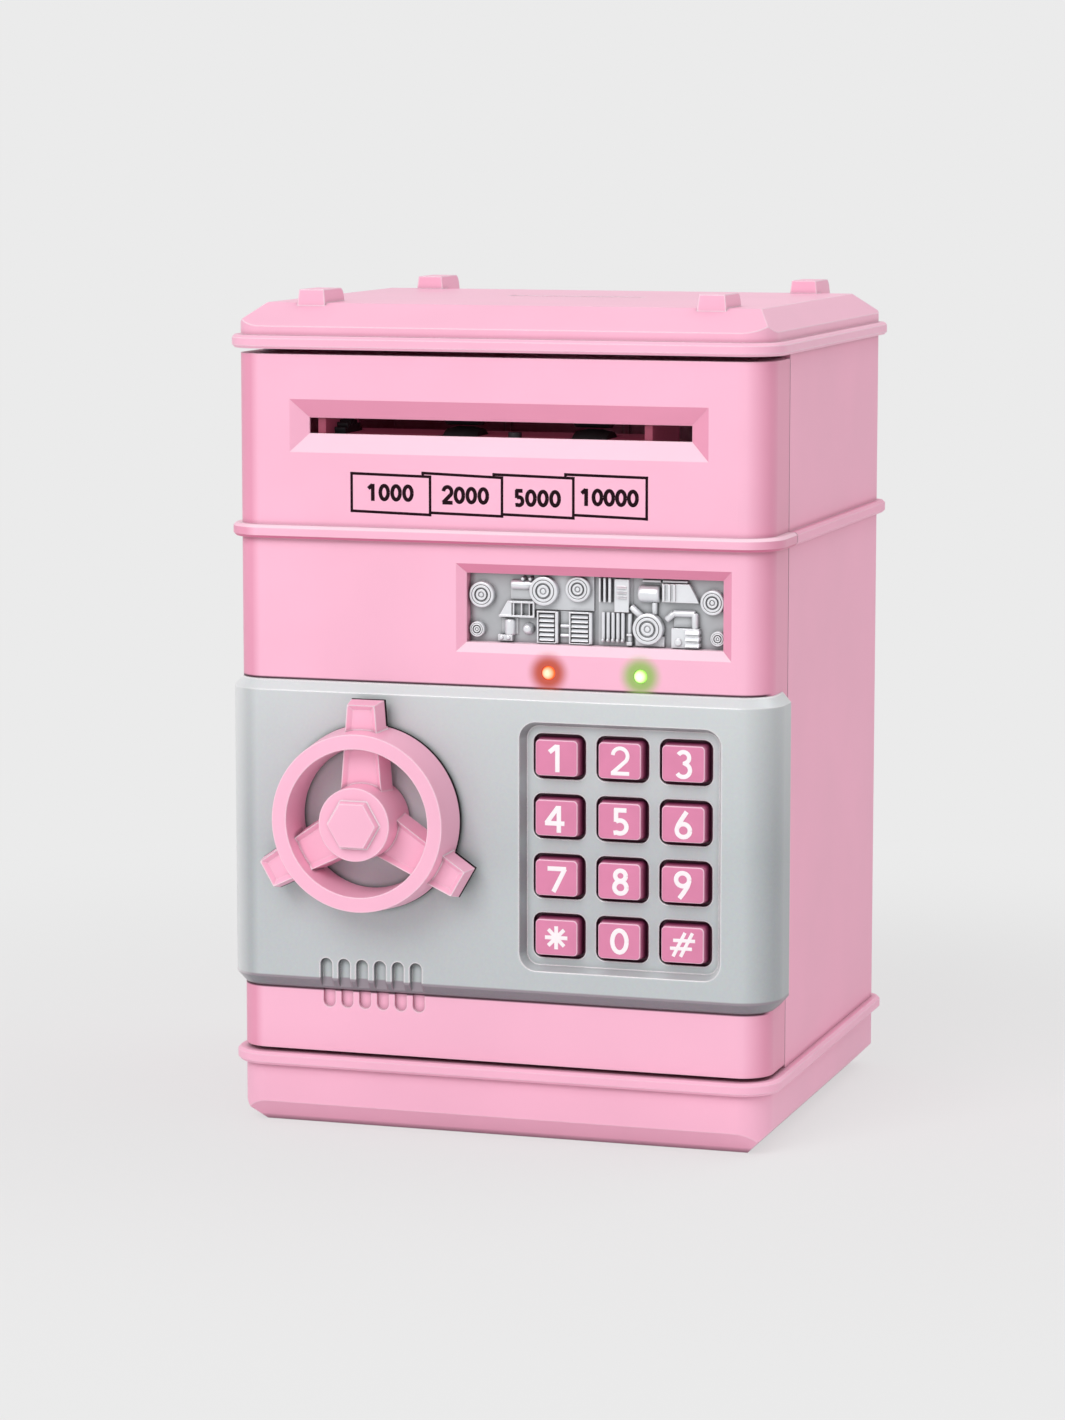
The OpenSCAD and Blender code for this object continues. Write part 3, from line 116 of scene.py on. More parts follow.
class BankLight(bpy.types.PropertyGroup):
    sky: FloatProperty(
        name="Sky", description="Strength of the soft light from all round", default=0.62, min=0, max=2)
    key: power_property("Key lamp", "Power of the lamp above the front", 8.0)
    side: power_property("Side lamp", "Power of the lamp on the right", 0.3)
    top: power_property("Top lamp", "Power of the lamp over the lid, behind and to the right", 2.0)


# Modelling helpers

def start(add_primitive, name, **settings):
    """Adds one primitive with nothing else selected and leaves it in edit mode, all selected."""
    bpy.ops.object.select_all(action="DESELECT")
    add_primitive(**settings)
    piece = bpy.context.object
    piece.name = name
    bpy.ops.object.transform_apply(location=True, rotation=True, scale=True)
    bpy.ops.object.mode_set(mode="EDIT")
    return piece


def start_block(name, centre, size):
    return start(bpy.ops.mesh.primitive_cube_add, name, size=1, location=centre, scale=size)


def pick(kind, test):
    """Selects the faces or edges of the piece in edit mode that pass the test, and stops if none does."""
    bpy.ops.mesh.select_mode(type=kind)
    bpy.ops.mesh.select_all(action="DESELECT")
    mesh = bpy.context.edit_object.data
    shape = bmesh.from_edit_mesh(mesh)
    found = [part for part in (shape.faces if kind == "FACE" else shape.edges) if test(part)]
    if not found:
        raise RuntimeError(f"{bpy.context.edit_object.name} has nothing there to select")
    for part in found:
        part.select_set(True)
    bmesh.update_edit_mesh(mesh)


def pick_front():
    pick("FACE", lambda f: f.normal.y < -0.9)


def run_along(edge, axis):
    return abs(getattr(edge.verts[0].co, axis) - getattr(edge.verts[1].co, axis))


def middle(edge):
    return (edge.verts[0].co + edge.verts[1].co) / 2


def finish_edit(piece, smooth=35):
    """Leaves edit mode with the faces turned outwards and soft edges shaded smooth."""
    bpy.ops.mesh.select_all(action="SELECT")
    bpy.ops.mesh.normals_make_consistent(inside=False)
    bpy.ops.object.mode_set(mode="OBJECT")
    bpy.ops.object.shade_smooth_by_angle(angle=radians(smooth))
    return piece


def only(piece):
    bpy.ops.object.select_all(action="DESELECT")
    piece.select_set(True)
    bpy.context.view_layer.objects.active = piece


def ease_edges(piece, width, segments=3, angle=30):
    """Rounds every edge sharper than the angle."""
    only(piece)
    bpy.ops.object.modifier_add(type="BEVEL")
    bevel = piece.modifiers[-1]
    bevel.width = width
    bevel.segments = segments
    bevel.limit_method = "ANGLE"
    bevel.angle_limit = radians(angle)
    bpy.ops.object.modifier_apply(modifier=bevel.name)


def copy_of(piece, name, place=(0, 0, 0), turn=(0, 0, 0), about=(0, 0, 0)):
    """A copy with its own mesh, turned about a point and moved, with its place applied to the mesh."""
    only(piece)
    bpy.ops.object.duplicate(linked=False)
    twin = bpy.context.object
    twin.name = name
    bpy.context.scene.cursor.location = about
    bpy.ops.object.origin_set(type="ORIGIN_CURSOR")
    twin.rotation_euler = turn
    twin.location = Vector(about) + Vector(place)
    bpy.ops.object.transform_apply(location=True, rotation=True, scale=True)
    return twin


def join(pieces, name):
    bpy.ops.object.select_all(action="DESELECT")
    for piece in pieces:
        piece.select_set(True)
    bpy.context.view_layer.objects.active = pieces[0]
    bpy.ops.object.join()
    whole = bpy.context.object
    whole.name = name
    return whole


def dress(piece, finish, body, slot, *nodes):
    piece.data.materials.clear()
    piece.data.materials.append(FINISHES[finish])
    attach(piece, body)
    if nodes:
        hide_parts(*nodes)


# Finishes

FINISHES = {}


def fill(tree, node, inputs):
    """Gives inputs of a node plain values or the outputs of other nodes."""
    for name, source in inputs.items():
        if isinstance(source, bpy.types.NodeSocket):
            tree.links.new(source, node.inputs[name])
        else:
            node.inputs[name].default_value = source


def add(tree, kind, inputs=None, stops=None, **settings):
    """Adds one node with its settings, its inputs and, for a colour ramp, its stops in rising order."""
    node = tree.nodes.new("ShaderNode" + kind)
    for name, value in settings.items():
        setattr(node, name, value)
    fill(tree, node, inputs or {})
    if stops:
        bands = node.color_ramp.elements
        for key_light_and_shade, (place, colour) in ((bands[0], stops[0]), (bands[-1], stops[-1])):
            key_light_and_shade.position = place
            key_light_and_shade.color = colour
        for place, colour in stops[1:-1]:
            bands.new(place).color = colour
    return node


def ramp(tree, value, begin, end, low=0.0, high=1.0, **settings):
    """Goes from low to high while the value goes from begin to end, and no further."""
    inputs = {"Value": value, "From Min": begin, "From Max": end, "To Min": low, "To Max": high}
    return add(tree, "MapRange", inputs, **settings).outputs["Result"]


def mix(tree, share, first, second, blend="MIX"):
    """Two colours mixed, with a share of the second."""
    inputs = {"Fac": share, "Color1": first, "Color2": second}
    return add(tree, "MixRGB", inputs, blend_type=blend).outputs["Color"]


def maths(tree, kind, *terms):
    return add(tree, "Math", dict(enumerate(terms)), operation=kind).outputs[0]


def part_of(tree, vector, axis):
    return add(tree, "SeparateXYZ", {"Vector": vector}).outputs[axis]


def distance(tree, place, point):
    return add(tree, "VectorMath", {0: place, 1: point}, operation="DISTANCE").outputs["Value"]


def rounded(tree, radius, samples=6):
    """The surface's direction as if its edges were rounded."""
    return add(tree, "Bevel", {"Radius": radius}, samples=samples).outputs["Normal"]


def tinted(colour, share):
    return tuple(min(1.0, c * share) for c in colour[:3]) + (1.0,)


class Finish:
    """One material while it is made: its nodes, its shader, Object coordinates and its colour so far."""

    def __init__(self, name):
        material = bpy.data.materials.new(name)
        material.use_nodes = True
        FINISHES[name] = material
        self.tree = material.node_tree
        self.shader = self.tree.nodes["Principled BSDF"]
        self.place = add(self.tree, "TexCoord").outputs["Object"]

    def set(self, inputs):
        fill(self.tree, self.shader, inputs)

    def paint(self, tone):
        """Makes this the finish's colour."""
        self.tone = tone
        self.set({"Base Color": tone})


def moulded(name, colour, roughness, spread=0.03, cloud_mm=35, grain_mm=0.6, grain=0.12, edge=0.35 * MM,
            ior=1.5, shine=0.4, edge_highlight=0.0, crease_shade=0.0, crease_shade_mm=1.5):
    """Injection-moulded plastic: even colour with a faint flow cloud, spark-eroded grain and soft edges.

    Its edges can be made pale with a painted highlight, and its seams and inner corners dark with painted
    shade.
    """
    finish = Finish(name)
    tree, place = finish.tree, finish.place
    cloud = add(tree, "TexNoise", {"Scale": 1000 / cloud_mm, "Detail": 2.0, "Vector": place}).outputs["Fac"]
    speck = add(tree, "TexNoise", {"Scale": 1000 / grain_mm, "Detail": 1.0, "Vector": place}).outputs["Fac"]
    bump = add(tree, "Bump", {"Strength": grain, "Distance": 0.02 * MM, "Height": speck,
                              "Normal": rounded(tree, edge)})
    tone = add(tree, "ValToRGB", {"Fac": cloud}, [
        (0.3, tinted(colour, 1 - spread)), (0.7, tinted(colour, 1 + spread))]).outputs["Color"]
    if crease_shade:
        # Painted shade darkens seams and inner corners, and a painted highlight makes rounded edges pale
        depth = add(tree, "AmbientOcclusion", {"Distance": crease_shade_mm * MM}, samples=8).outputs["AO"]
        tone = mix(tree, 1.0, tone, ramp(tree, depth, 0.2, 0.92, 1 - crease_shade), "MULTIPLY")
        plain = add(tree, "NewGeometry").outputs["True Normal"]
        turn = add(tree, "VectorMath", {0: rounded(tree, 1.8 * edge), 1: plain}, operation="DOT_PRODUCT")
        edge_highlight_share = ramp(tree, turn.outputs["Value"], 0.985, 0.85, high=edge_highlight)
        painted_edge_light = maths(tree, "MULTIPLY", edge_highlight_share, ramp(tree, depth, 0.5, 0.62))
        tone = mix(tree, painted_edge_light, tone, srgb("#fff8fb"))
    finish.paint(tone)
    finish.set({"Roughness": ramp(tree, cloud, 0, 1, roughness - 0.04, roughness + 0.05),
                "Normal": bump.outputs["Normal"], "IOR": ior, "Specular IOR Level": shine})
    return finish


def metal(name, code, roughness, line_mm, stretch):
    """Drawn, stamped or turned metal: fine lines along the way that the tool went, and small stains."""
    finish = Finish(name)
    tree, colour = finish.tree, srgb(code)
    drawn = add(tree, "Mapping", {"Scale": stretch, "Vector": finish.place}).outputs["Vector"]
    lines = add(tree, "TexNoise", {"Scale": 1000 / line_mm, "Detail": 3.0, "Vector": drawn}).outputs["Fac"]
    tone = add(tree, "ValToRGB", {"Fac": lines}, [(0.25, tinted(colour, 0.86)), (0.75, tinted(colour, 1.06))])
    bump = add(tree, "Bump", {"Strength": 0.2, "Distance": 0.02 * MM, "Height": lines,
                              "Normal": rounded(tree, 0.12 * MM, samples=4)})
    finish.paint(tone.outputs["Color"])
    finish.set({"Roughness": ramp(tree, lines, 0, 1, roughness - 0.06, roughness + 0.1),
                "Normal": bump.outputs["Normal"], "Metallic": 1})
    return finish


def shade_by_facing(finish, painted_shade_colour, pale):
    """Painted shade and painted light by the way a face points: faces that hang over or turn aside take a
    deeper colour, and those that lean back a paler one.
    """
    tree = finish.tree
    way = add(tree, "NewGeometry").outputs["Normal"]
    left = maths(tree, "MULTIPLY", part_of(tree, way, "X"), -1)
    right = maths(tree, "MULTIPLY", part_of(tree, way, "X"), 0.45)
    aside = maths(tree, "MINIMUM", maths(tree, "MAXIMUM", left, right), 0.4)
    tilt = maths(tree, "MULTIPLY_ADD", aside, -0.9, part_of(tree, way, "Z"))
    # Painted shade on faces that hang over or turn aside
    shade = mix(tree, ramp(tree, tilt, -0.1, -0.6), WHITE, srgb(painted_shade_colour))
    kept = mix(tree, 1.0, finish.tone, shade, "MULTIPLY")
    # Painted light, up to the share pale of white, on faces that lean back
    finish.paint(mix(tree, ramp(tree, tilt, 0.15, 0.6, high=pale), kept, WHITE))


def paint_shadow_round_panel(finish):
    """Painted shadow: a thin dark line on the front of the door over and under the panel."""
    tree = finish.tree
    low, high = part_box("control_panel")
    half = (high.z - low.z) / 2
    off = maths(tree, "SUBTRACT", part_of(tree, finish.place, "Z"), low.z + half)
    past = maths(tree, "SUBTRACT", maths(tree, "ABSOLUTE", off), half)
    line = ramp(tree, maths(tree, "ABSOLUTE", past), 0.3 * MM, 0.6 * MM, 0.92, 0)
    front = ramp(tree, part_of(tree, finish.place, "Y"), FRONT_Y + 3 * MM, FRONT_Y + 5 * MM, 1, 0)
    finish.paint(mix(tree, maths(tree, "MULTIPLY", line, front), finish.tone, srgb("#1c0a12")))


def paint_led_light_on_wall(finish):
    """Painted light: round each lamp the wall is tinted and glows faintly in the lamp's colour, as a pool of
    the lamp's light.
    """
    tree = finish.tree
    tone, light = finish.tone, BLACK
    for led in LEDS:
        reach = distance(tree, finish.place, (led.x, FRONT_Y, LED_Z))
        near = ramp(tree, reach, 5.4 * MM, 2.2 * MM, 0, 0.9, interpolation_type="SMOOTHSTEP")
        tone = mix(tree, near, tone, srgb(led.glow))
        light = mix(tree, 1.0, light, mix(tree, near, BLACK, srgb(led.glow)), "ADD")
    finish.paint(tone)
    finish.set({"Emission Color": light, "Emission Strength": 0.06})


def paint_shadow_behind_wheel(finish, roughness):
    """Painted shadow: a dull dark line outlines the back of the handwheel's rim and of its lugs, which end
    further forward.
    """
    tree = finish.tree
    flat = add(tree, "VectorMath", {0: finish.place, 1: (1, 0, 1)}, operation="MULTIPLY").outputs["Vector"]
    reach = distance(tree, flat, KNOB)
    outer = ramp(tree, reach, 17.5 * MM, 18.5 * MM)
    lug = ramp(tree, reach, 21 * MM, 21.4 * MM, high=1.8 * MM)
    back = maths(tree, "ADD", part_of(tree, finish.place, "Y"), lug)
    line = maths(tree, "MULTIPLY", outer, ramp(tree, back, PANEL_Y - 1.6 * MM, PANEL_Y - 1.4 * MM))
    finish.paint(mix(tree, line, finish.tone, srgb("#12040a")))
    finish.set({"Roughness": ramp(tree, line, 0, 1, roughness, 1.0)})


def make_pinks(colours, sizes):
    pink = tuple(colours.body)
    # The pinks get a painted highlight on their edges and painted shade in their seams and inner corners
    painted_edge_light = {"edge": sizes.edge, "edge_highlight": 0.4, "crease_shade": 0.5}
    # Pink ABS, injection moulded in a polished tool: smooth and satin, edges a little round
    moulded("pink ABS", pink, 0.38, shine=0.12, **painted_edge_light)
    # The case's pink is made a shade deeper than the front's as painted shade, and the lid's a shade duller
    # as painted shade, with a stronger painted highlight on its edges
    shaded_pink = tuple(c * k for c, k in zip(pink, (0.98, 0.89, 0.92, 1)))
    moulded("pink ABS of the case in painted shade", shaded_pink, 0.38, shine=0.12, **painted_edge_light)
    moulded("pink ABS of the lid in painted shade", tinted(pink, 0.97), 0.36, shine=0.18, **(painted_edge_light | {"edge_highlight": 0.75}))
    door = moulded("pink ABS of the door", pink, 0.36, shine=0.18, **painted_edge_light)
    # Painted shade on faces that hang over, painted light on faces that lean back, a painted shadow round the
    # panel and painted light round the lamps
    shade_by_facing(door, "#dfa8bc", 0.38)
    paint_shadow_round_panel(door)
    paint_led_light_on_wall(door)
    # The wheel's edges are made pale by a painted highlight, its seams dark by painted shade, and its back
    # outlined by a painted shadow
    wheel = moulded("pink ABS of the wheel", pink, 0.33, edge=0.3 * MM, shine=0.3, edge_highlight=0.85, crease_shade=0.6,
                    crease_shade_mm=1.2)
    paint_shadow_behind_wheel(wheel, 0.33)
    # Pink ABS of the feed frame, painted a dull dark pink as painted shade, whose faint glow is painted light
    # that stands in for daylight through the walls
    feed = moulded("pink ABS of the feed frame in painted shade", srgb("#8c3c52"), 0.45, spread=0.06, cloud_mm=12)
    feed.set({"Emission Color": feed.tone, "Emission Strength": 0.2})
    # The keys are a deeper pink ABS; a painted highlight makes the face's edges pale, and painted shade
    # darkens the sides the deeper they run into the holes
    keys = moulded("key pink ABS", tuple(colours.keys), 0.3, spread=0.04, cloud_mm=9, edge=0.08 * MM)
    back = part_of(keys.tree, keys.place, "Y")
    key_light_and_shade = add(keys.tree, "ValToRGB", {"Fac": ramp(keys.tree, back, KEY_FACE_Y, KEY_FACE_Y + 3.4 * MM)}, [
        (0, srgb("#fccfe2")), (0.07, srgb("#fccfe2")), (0.13, srgb("#cc6c94")), (0.5, srgb("#a04a6e")),
        (1, srgb("#5a1c3a"))])
    past_face = ramp(keys.tree, back, KEY_FACE_Y + 0.01 * MM, KEY_FACE_Y + 0.05 * MM)
    keys.paint(mix(keys.tree, past_face, keys.tone, key_light_and_shade.outputs["Color"]))


def make_paints(colours):
    # Silver-grey lacquer on ABS: fine flakes give it a faint sparkle; painted light makes it paler towards
    # its top and where it turns to the left, painted shade darkens its foot, its seams and the faces that
    # hang over, and a painted highlight makes its edges pale
    lacquer = moulded("silver lacquer", tuple(colours.panel), 0.34, spread=0.02, edge=0.42 * MM, shine=0.5,
                      edge_highlight=0.95, crease_shade=0.9, crease_shade_mm=1.6)
    shade_by_facing(lacquer, "#b4b2b6", 0.12)
    tree, flake_mm = lacquer.tree, 0.5
    flake = add(tree, "TexVoronoi", {"Scale": 1000 / flake_mm, "Vector": lacquer.place}).outputs["Color"]
    tone = mix(tree, 0.05, lacquer.tone, flake, "SOFT_LIGHT")
    low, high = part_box("control_panel")
    level = part_of(tree, lacquer.place, "Z")
    # Painted light: paler towards the top
    tone = mix(tree, ramp(tree, level, high.z, (low.z + high.z) / 2, 0.22, 0), tone, WHITE)
    foot = ramp(tree, level, low.z + 3.0 * MM, low.z + 2.7 * MM)
    # Painted shade along the foot
    tone = mix(tree, foot, tone, srgb("#978d95"), "DARKEN")
    across = part_of(tree, add(tree, "NewGeometry").outputs["Normal"], "X")
    # Painted highlight where the face turns to the left
    lacquer.paint(mix(tree, ramp(tree, across, -0.3, -0.8, high=0.5), tone, WHITE))
    lacquer.set({"Metallic": 0.15})
    # Silver paint over the moulded relief, with painted shade that darkens it the deeper it lies, painted
    # shade in its seams and a painted highlight on its edges
    relief = moulded("silver relief paint", tuple(colours.relief), 0.3, cloud_mm=4, edge=0.12 * MM, shine=0.5,
                     edge_highlight=0.9, crease_shade=0.68, crease_shade_mm=1.4)
    back = part_of(relief.tree, relief.place, "Y")
    depth_shade = ramp(relief.tree, back, RELIEF_Y + 0.2 * MM, RELIEF_Y - 1.2 * MM, 0.52, 1.0)
    relief.paint(mix(relief.tree, 1.0, relief.tone, depth_shade, "MULTIPLY"))
    relief.set({"Metallic": 0.45})


def make_inner_finishes():
    # High-impact polystyrene of the inner cover: milky and dull
    moulded("white styrene", srgb("#e9e6e0"), 0.5, cloud_mm=20)
    # Nylon of the small moulded parts inside: black and dry, with a coarse skin
    moulded("black nylon", srgb("#26262a"), 0.55, spread=0.12, cloud_mm=6, grain_mm=0.9, grain=0.35)
    # Silicone mat: grey and dull
    moulded("grey silicone", srgb("#8c8d91"), 0.62, cloud_mm=5, ior=1.41)
    # Nitrile rollers, ground: black and matt with fine marks
    moulded("black nitrile", srgb("#29272a"), 0.75, spread=0.1, cloud_mm=3, grain_mm=0.5, grain=0.5)
    # Shrink sleeve of a cell: dark film, copper-coloured round its middle and pale at its ends
    sleeve = moulded("cell sleeve", srgb("#2c3038"), 0.28, cloud_mm=12, edge=0.2 * MM)
    along = ramp(sleeve.tree, part_of(sleeve.tree, sleeve.place, "X"), -26 * MM, 26 * MM)
    pale, dark, copper = srgb("#b9bcc2"), srgb("#2c3038"), srgb("#b07a45")
    bands = add(sleeve.tree, "ValToRGB", {"Fac": along}, [
        (0, pale), (0.05, dark), (0.3, copper), (0.7, copper), (0.95, dark), (1, pale)])
    bands.color_ramp.interpolation = "CONSTANT"
    sleeve.paint(bands.outputs["Color"])
    # Glass-epoxy board: green solder mask over copper tracks
    board, tile_mm = moulded("circuit board", srgb("#1f5f3a"), 0.32, cloud_mm=10), 6
    tracks = add(board.tree, "TexBrick", {
        "Scale": 1000 / tile_mm, "Mortar Size": 0.03, "Color1": srgb("#1f5f3a"), "Color2": srgb("#26693f"),
        "Mortar": srgb("#3d8a57"), "Vector": board.place})
    board.paint(tracks.outputs["Color"])
    # Zinc-plated stamped steel, spring wire, screws, the motor's drawn can, turned brass and wound copper
    metal("zinc-plated steel", "#b4b7bb", 0.36, 1.2, (1, 1, 0.1))
    metal("spring steel", "#c6c6c4", 0.26, 0.8, (0.2, 1, 1))
    metal("screw steel", "#9d9ea2", 0.32, 0.6, (1, 1, 0.3))
    metal("motor can", "#a9abb0", 0.3, 1.0, (0.1, 1, 1))
    metal("turned brass", "#c9a45c", 0.28, 0.5, (1, 0.3, 0.3))
    coil, wire_mm = metal("copper winding", "#b86a3c", 0.34, 1.0, (1, 1, 1)), 0.5
    turns = add(coil.tree, "TexWave", {
        "Scale": 1000 / wire_mm / 6.28, "Distortion": 0.6, "Vector": coil.place}, bands_direction="Z")
    wound = add(coil.tree, "Bump", {"Strength": 0.7, "Distance": 0.12 * MM, "Height": turns.outputs["Fac"]})
    coil.set({"Normal": wound.outputs["Normal"]})


def make_inks_and_lenses(colours):
    # Pad-printed inks: thin, slightly uneven in cover
    moulded("white key ink", tuple(colours.signs), 0.5, spread=0.02, cloud_mm=3, edge=0.04 * MM, shine=0.2)
    moulded("dark box ink", tuple(colours.print), 0.6, spread=0.1, cloud_mm=4, edge=0.04 * MM, shine=0.1)
    # Tinted epoxy lamps, lit: a pale hot core and a deeper rim
    for led in LEDS:
        lens = moulded(f"{led.slot} lamp", srgb(led.rim), 0.12, edge=0.05 * MM)
        reach = distance(lens.tree, lens.place, (led.x, FRONT_Y - 1.2 * MM, LED_Z))
        hot = add(lens.tree, "ValToRGB", {"Fac": ramp(lens.tree, reach, 0, 2.2 * MM)}, [
            (0.2, srgb(led.core)), (0.8, srgb(led.rim))])
        lens.set({"Emission Color": hot.outputs["Color"], "Emission Strength": 1.1})


NODE_FINISHES = {
    "pink ABS": ["base_tray", "floor_plate", "battery_cover", "knob"],
    "pink ABS of the case in painted shade": ["case_shell"],
    "pink ABS of the lid in painted shade": ["lid"],
    "pink ABS of the door": ["door_shell"],
    "pink ABS of the feed frame in painted shade": ["feed_frame"],
    "silver lacquer": ["control_panel"],
    "silver relief paint": ["relief_plate"],
    "white styrene": ["door_back"],
    "black nylon": ["latch_guides", "speaker", "drive_gear", "idler_rollers", "note_sensor"],
    "grey silicone": ["key_mat"],
    "black nitrile": ["drive_rollers"],
    "cell sleeve": ["battery_cells"],
    "circuit board": ["led_board", "keypad_board", "main_board"],
    "zinc-plated steel": ["strike_plate", "crank", "latch_bar", "lock_pin", "solenoid_frame", "shaft_clip"],
    "spring steel": ["battery_contacts"],
    "screw steel": ["base_screws", "lid_screws", "door_screws", "hinge_pins", "knob_shaft"],
    "motor can": ["feed_motor", "drive_shaft", "idler_shaft"],
    "turned brass": ["feed_bushes", "motor_pinion"],
    "copper winding": ["solenoid_coil"],
    "key pink ABS": KEYS,
    "red_lens lamp": ["red_led"],
    "green_lens lamp": ["green_led"],
}


class BANK_OT_finishes(bpy.types.Operator):
    """Makes the finishes and gives every CAD piece its own"""
    bl_idname = "bank.finishes"
    bl_label = "Finishes"

    def execute(self, context):
        colours = context.scene.bank_colours
        make_pinks(colours, context.scene.bank_sizes)
        make_paints(colours)
        make_inner_finishes()
        make_inks_and_lenses(colours)
        for finish, nodes in NODE_FINISHES.items():
            for node in nodes:
                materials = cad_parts[node].data.materials
                for i in range(max(1, len(materials))):
                    if i < len(materials):
                        materials[i] = FINISHES[finish]
                    else:
                        materials.append(FINISHES[finish])
        return {"FINISHED"}


# Handwheel

def wheel_rim(front, back, edge):
    """Rim: a drafted drum inset at both ends, its middle bridged through."""
    outer_front, outer_back, bore_front, bore_back = 19.95 * MM, 21 * MM, 16.6 * MM, 16.05 * MM
    piece = start(bpy.ops.mesh.primitive_cone_add, "rim", vertices=96, radius1=outer_back,
                  radius2=outer_front, depth=back - front, rotation=(pi / 2, 0, 0),
                  location=KNOB + Vector((0, (front + back) / 2, 0)))
    for side, wall in ((-1, outer_front - bore_front), (1, outer_back - bore_back)):
        pick("FACE", lambda f: f.normal.y * side > 0.9)
        bpy.ops.mesh.inset(thickness=wall)
        bpy.ops.mesh.delete(type="FACE")
    pick("EDGE", lambda e: e.is_boundary)
    bpy.ops.mesh.bridge_edge_loops()
    finish_edit(piece)
    ease_edges(piece, edge, segments=4, angle=50)
    return piece


def wheel_hub(nose, shoulder, back, edge, nose_edge):
    """Hub: a drafted drum whose front carries a six-sided nose."""
    drum_back, drum_front, nose_back, nose_front = 8.7 * MM, 8.25 * MM, 6.2 * MM, 5.6 * MM
    drum = start(bpy.ops.mesh.primitive_cone_add, "drum", vertices=72, radius1=drum_back, radius2=drum_front,
                 depth=back - shoulder, rotation=(pi / 2, 0, 0),
                 location=KNOB + Vector((0, (shoulder + back) / 2, 0)))
    finish_edit(drum)
    ease_edges(drum, edge, angle=50)
    root = shoulder + 0.4 * MM
    hexagon = start(bpy.ops.mesh.primitive_cone_add, "nose", vertices=6, radius1=nose_back,
                    radius2=nose_front, depth=root - nose, rotation=(pi / 2, radians(30), 0),
                    location=KNOB + Vector((0, (root + nose) / 2, 0)))
    finish_edit(hexagon)
    ease_edges(hexagon, nose_edge)
    return [drum, hexagon]


def wheel_spoke(edge):
    """Spoke: a drafted bar that tapers to its lug beyond the rim, its face sunk within a border."""
    front, back = PANEL_Y - 8 * MM, PANEL_Y - 2.4 * MM
    root, tip, draft = 6.25 * MM, 26.8 * MM, 0.8 * MM
    root_half, tip_half = 5.6 * MM, 4 * MM
    border, sunk = 1.15 * MM, 1.0 * MM
    bar = start_block("spoke", KNOB + Vector((0, (front + back) / 2, (root + tip) / 2)),
                      (2 * root_half, back - front, tip - root))
    pick("FACE", lambda f: f.normal.z > 0.9)
    bpy.ops.transform.resize(value=(tip_half / root_half, 1, 1))
    for top, half in ((True, tip_half), (False, root_half)):
        pick("EDGE", lambda e: middle(e).y < front + 0.1 * MM and run_along(e, "z") < 0.1 * MM
             and (middle(e).z > KNOB.z + 15 * MM) == top)
        bpy.ops.transform.resize(value=((half - draft) / half, 1, 1))
        if top:
            bpy.ops.transform.translate(value=(0, 0, -draft))
    pick_front()
    bpy.ops.mesh.inset(thickness=border)
    bpy.ops.transform.translate(value=(0, sunk, 0))
    finish_edit(bar)
    ease_edges(bar, edge)
    return bar


class BANK_OT_handwheel(bpy.types.Operator):
    """Models the handwheel: rim, hub with a six-sided nose, and three spokes that end in lugs"""
    bl_idname = "bank.handwheel"
    bl_label = "Handwheel"

    def execute(self, context):
        sizes = context.scene.bank_sizes
        parts = [wheel_rim(front=PANEL_Y - 11.3 * MM, back=PANEL_Y - 0.6 * MM, edge=sizes.wheel_edge)]
        parts += wheel_hub(nose=PANEL_Y - 14.6 * MM, shoulder=PANEL_Y - 12.9 * MM, back=PANEL_Y - 0.15 * MM,
                           edge=0.15 * MM, nose_edge=0.1 * MM)
        spoke = wheel_spoke(sizes.spoke_edge)
        for angle in (120, 240):
            parts.append(copy_of(spoke, f"spoke_{angle}", turn=(0, radians(angle), 0), about=KNOB))
        wheel = join(parts + [spoke], "handwheel")
        dress(wheel, "pink ABS of the wheel", "handwheel", "pink_abs", "knob")
        return {"FINISHED"}


# Keys and figures

def bow(x, z, wide, tall, first, last):
    """Points along an arc, from one angle to another in degrees."""
    steps = max(3, round(abs(last - first) / 15))
    angles = [radians(first + (last - first) * i / steps) for i in range(steps + 1)]
    return [(x + wide * cos(a), z + tall * sin(a)) for a in angles]


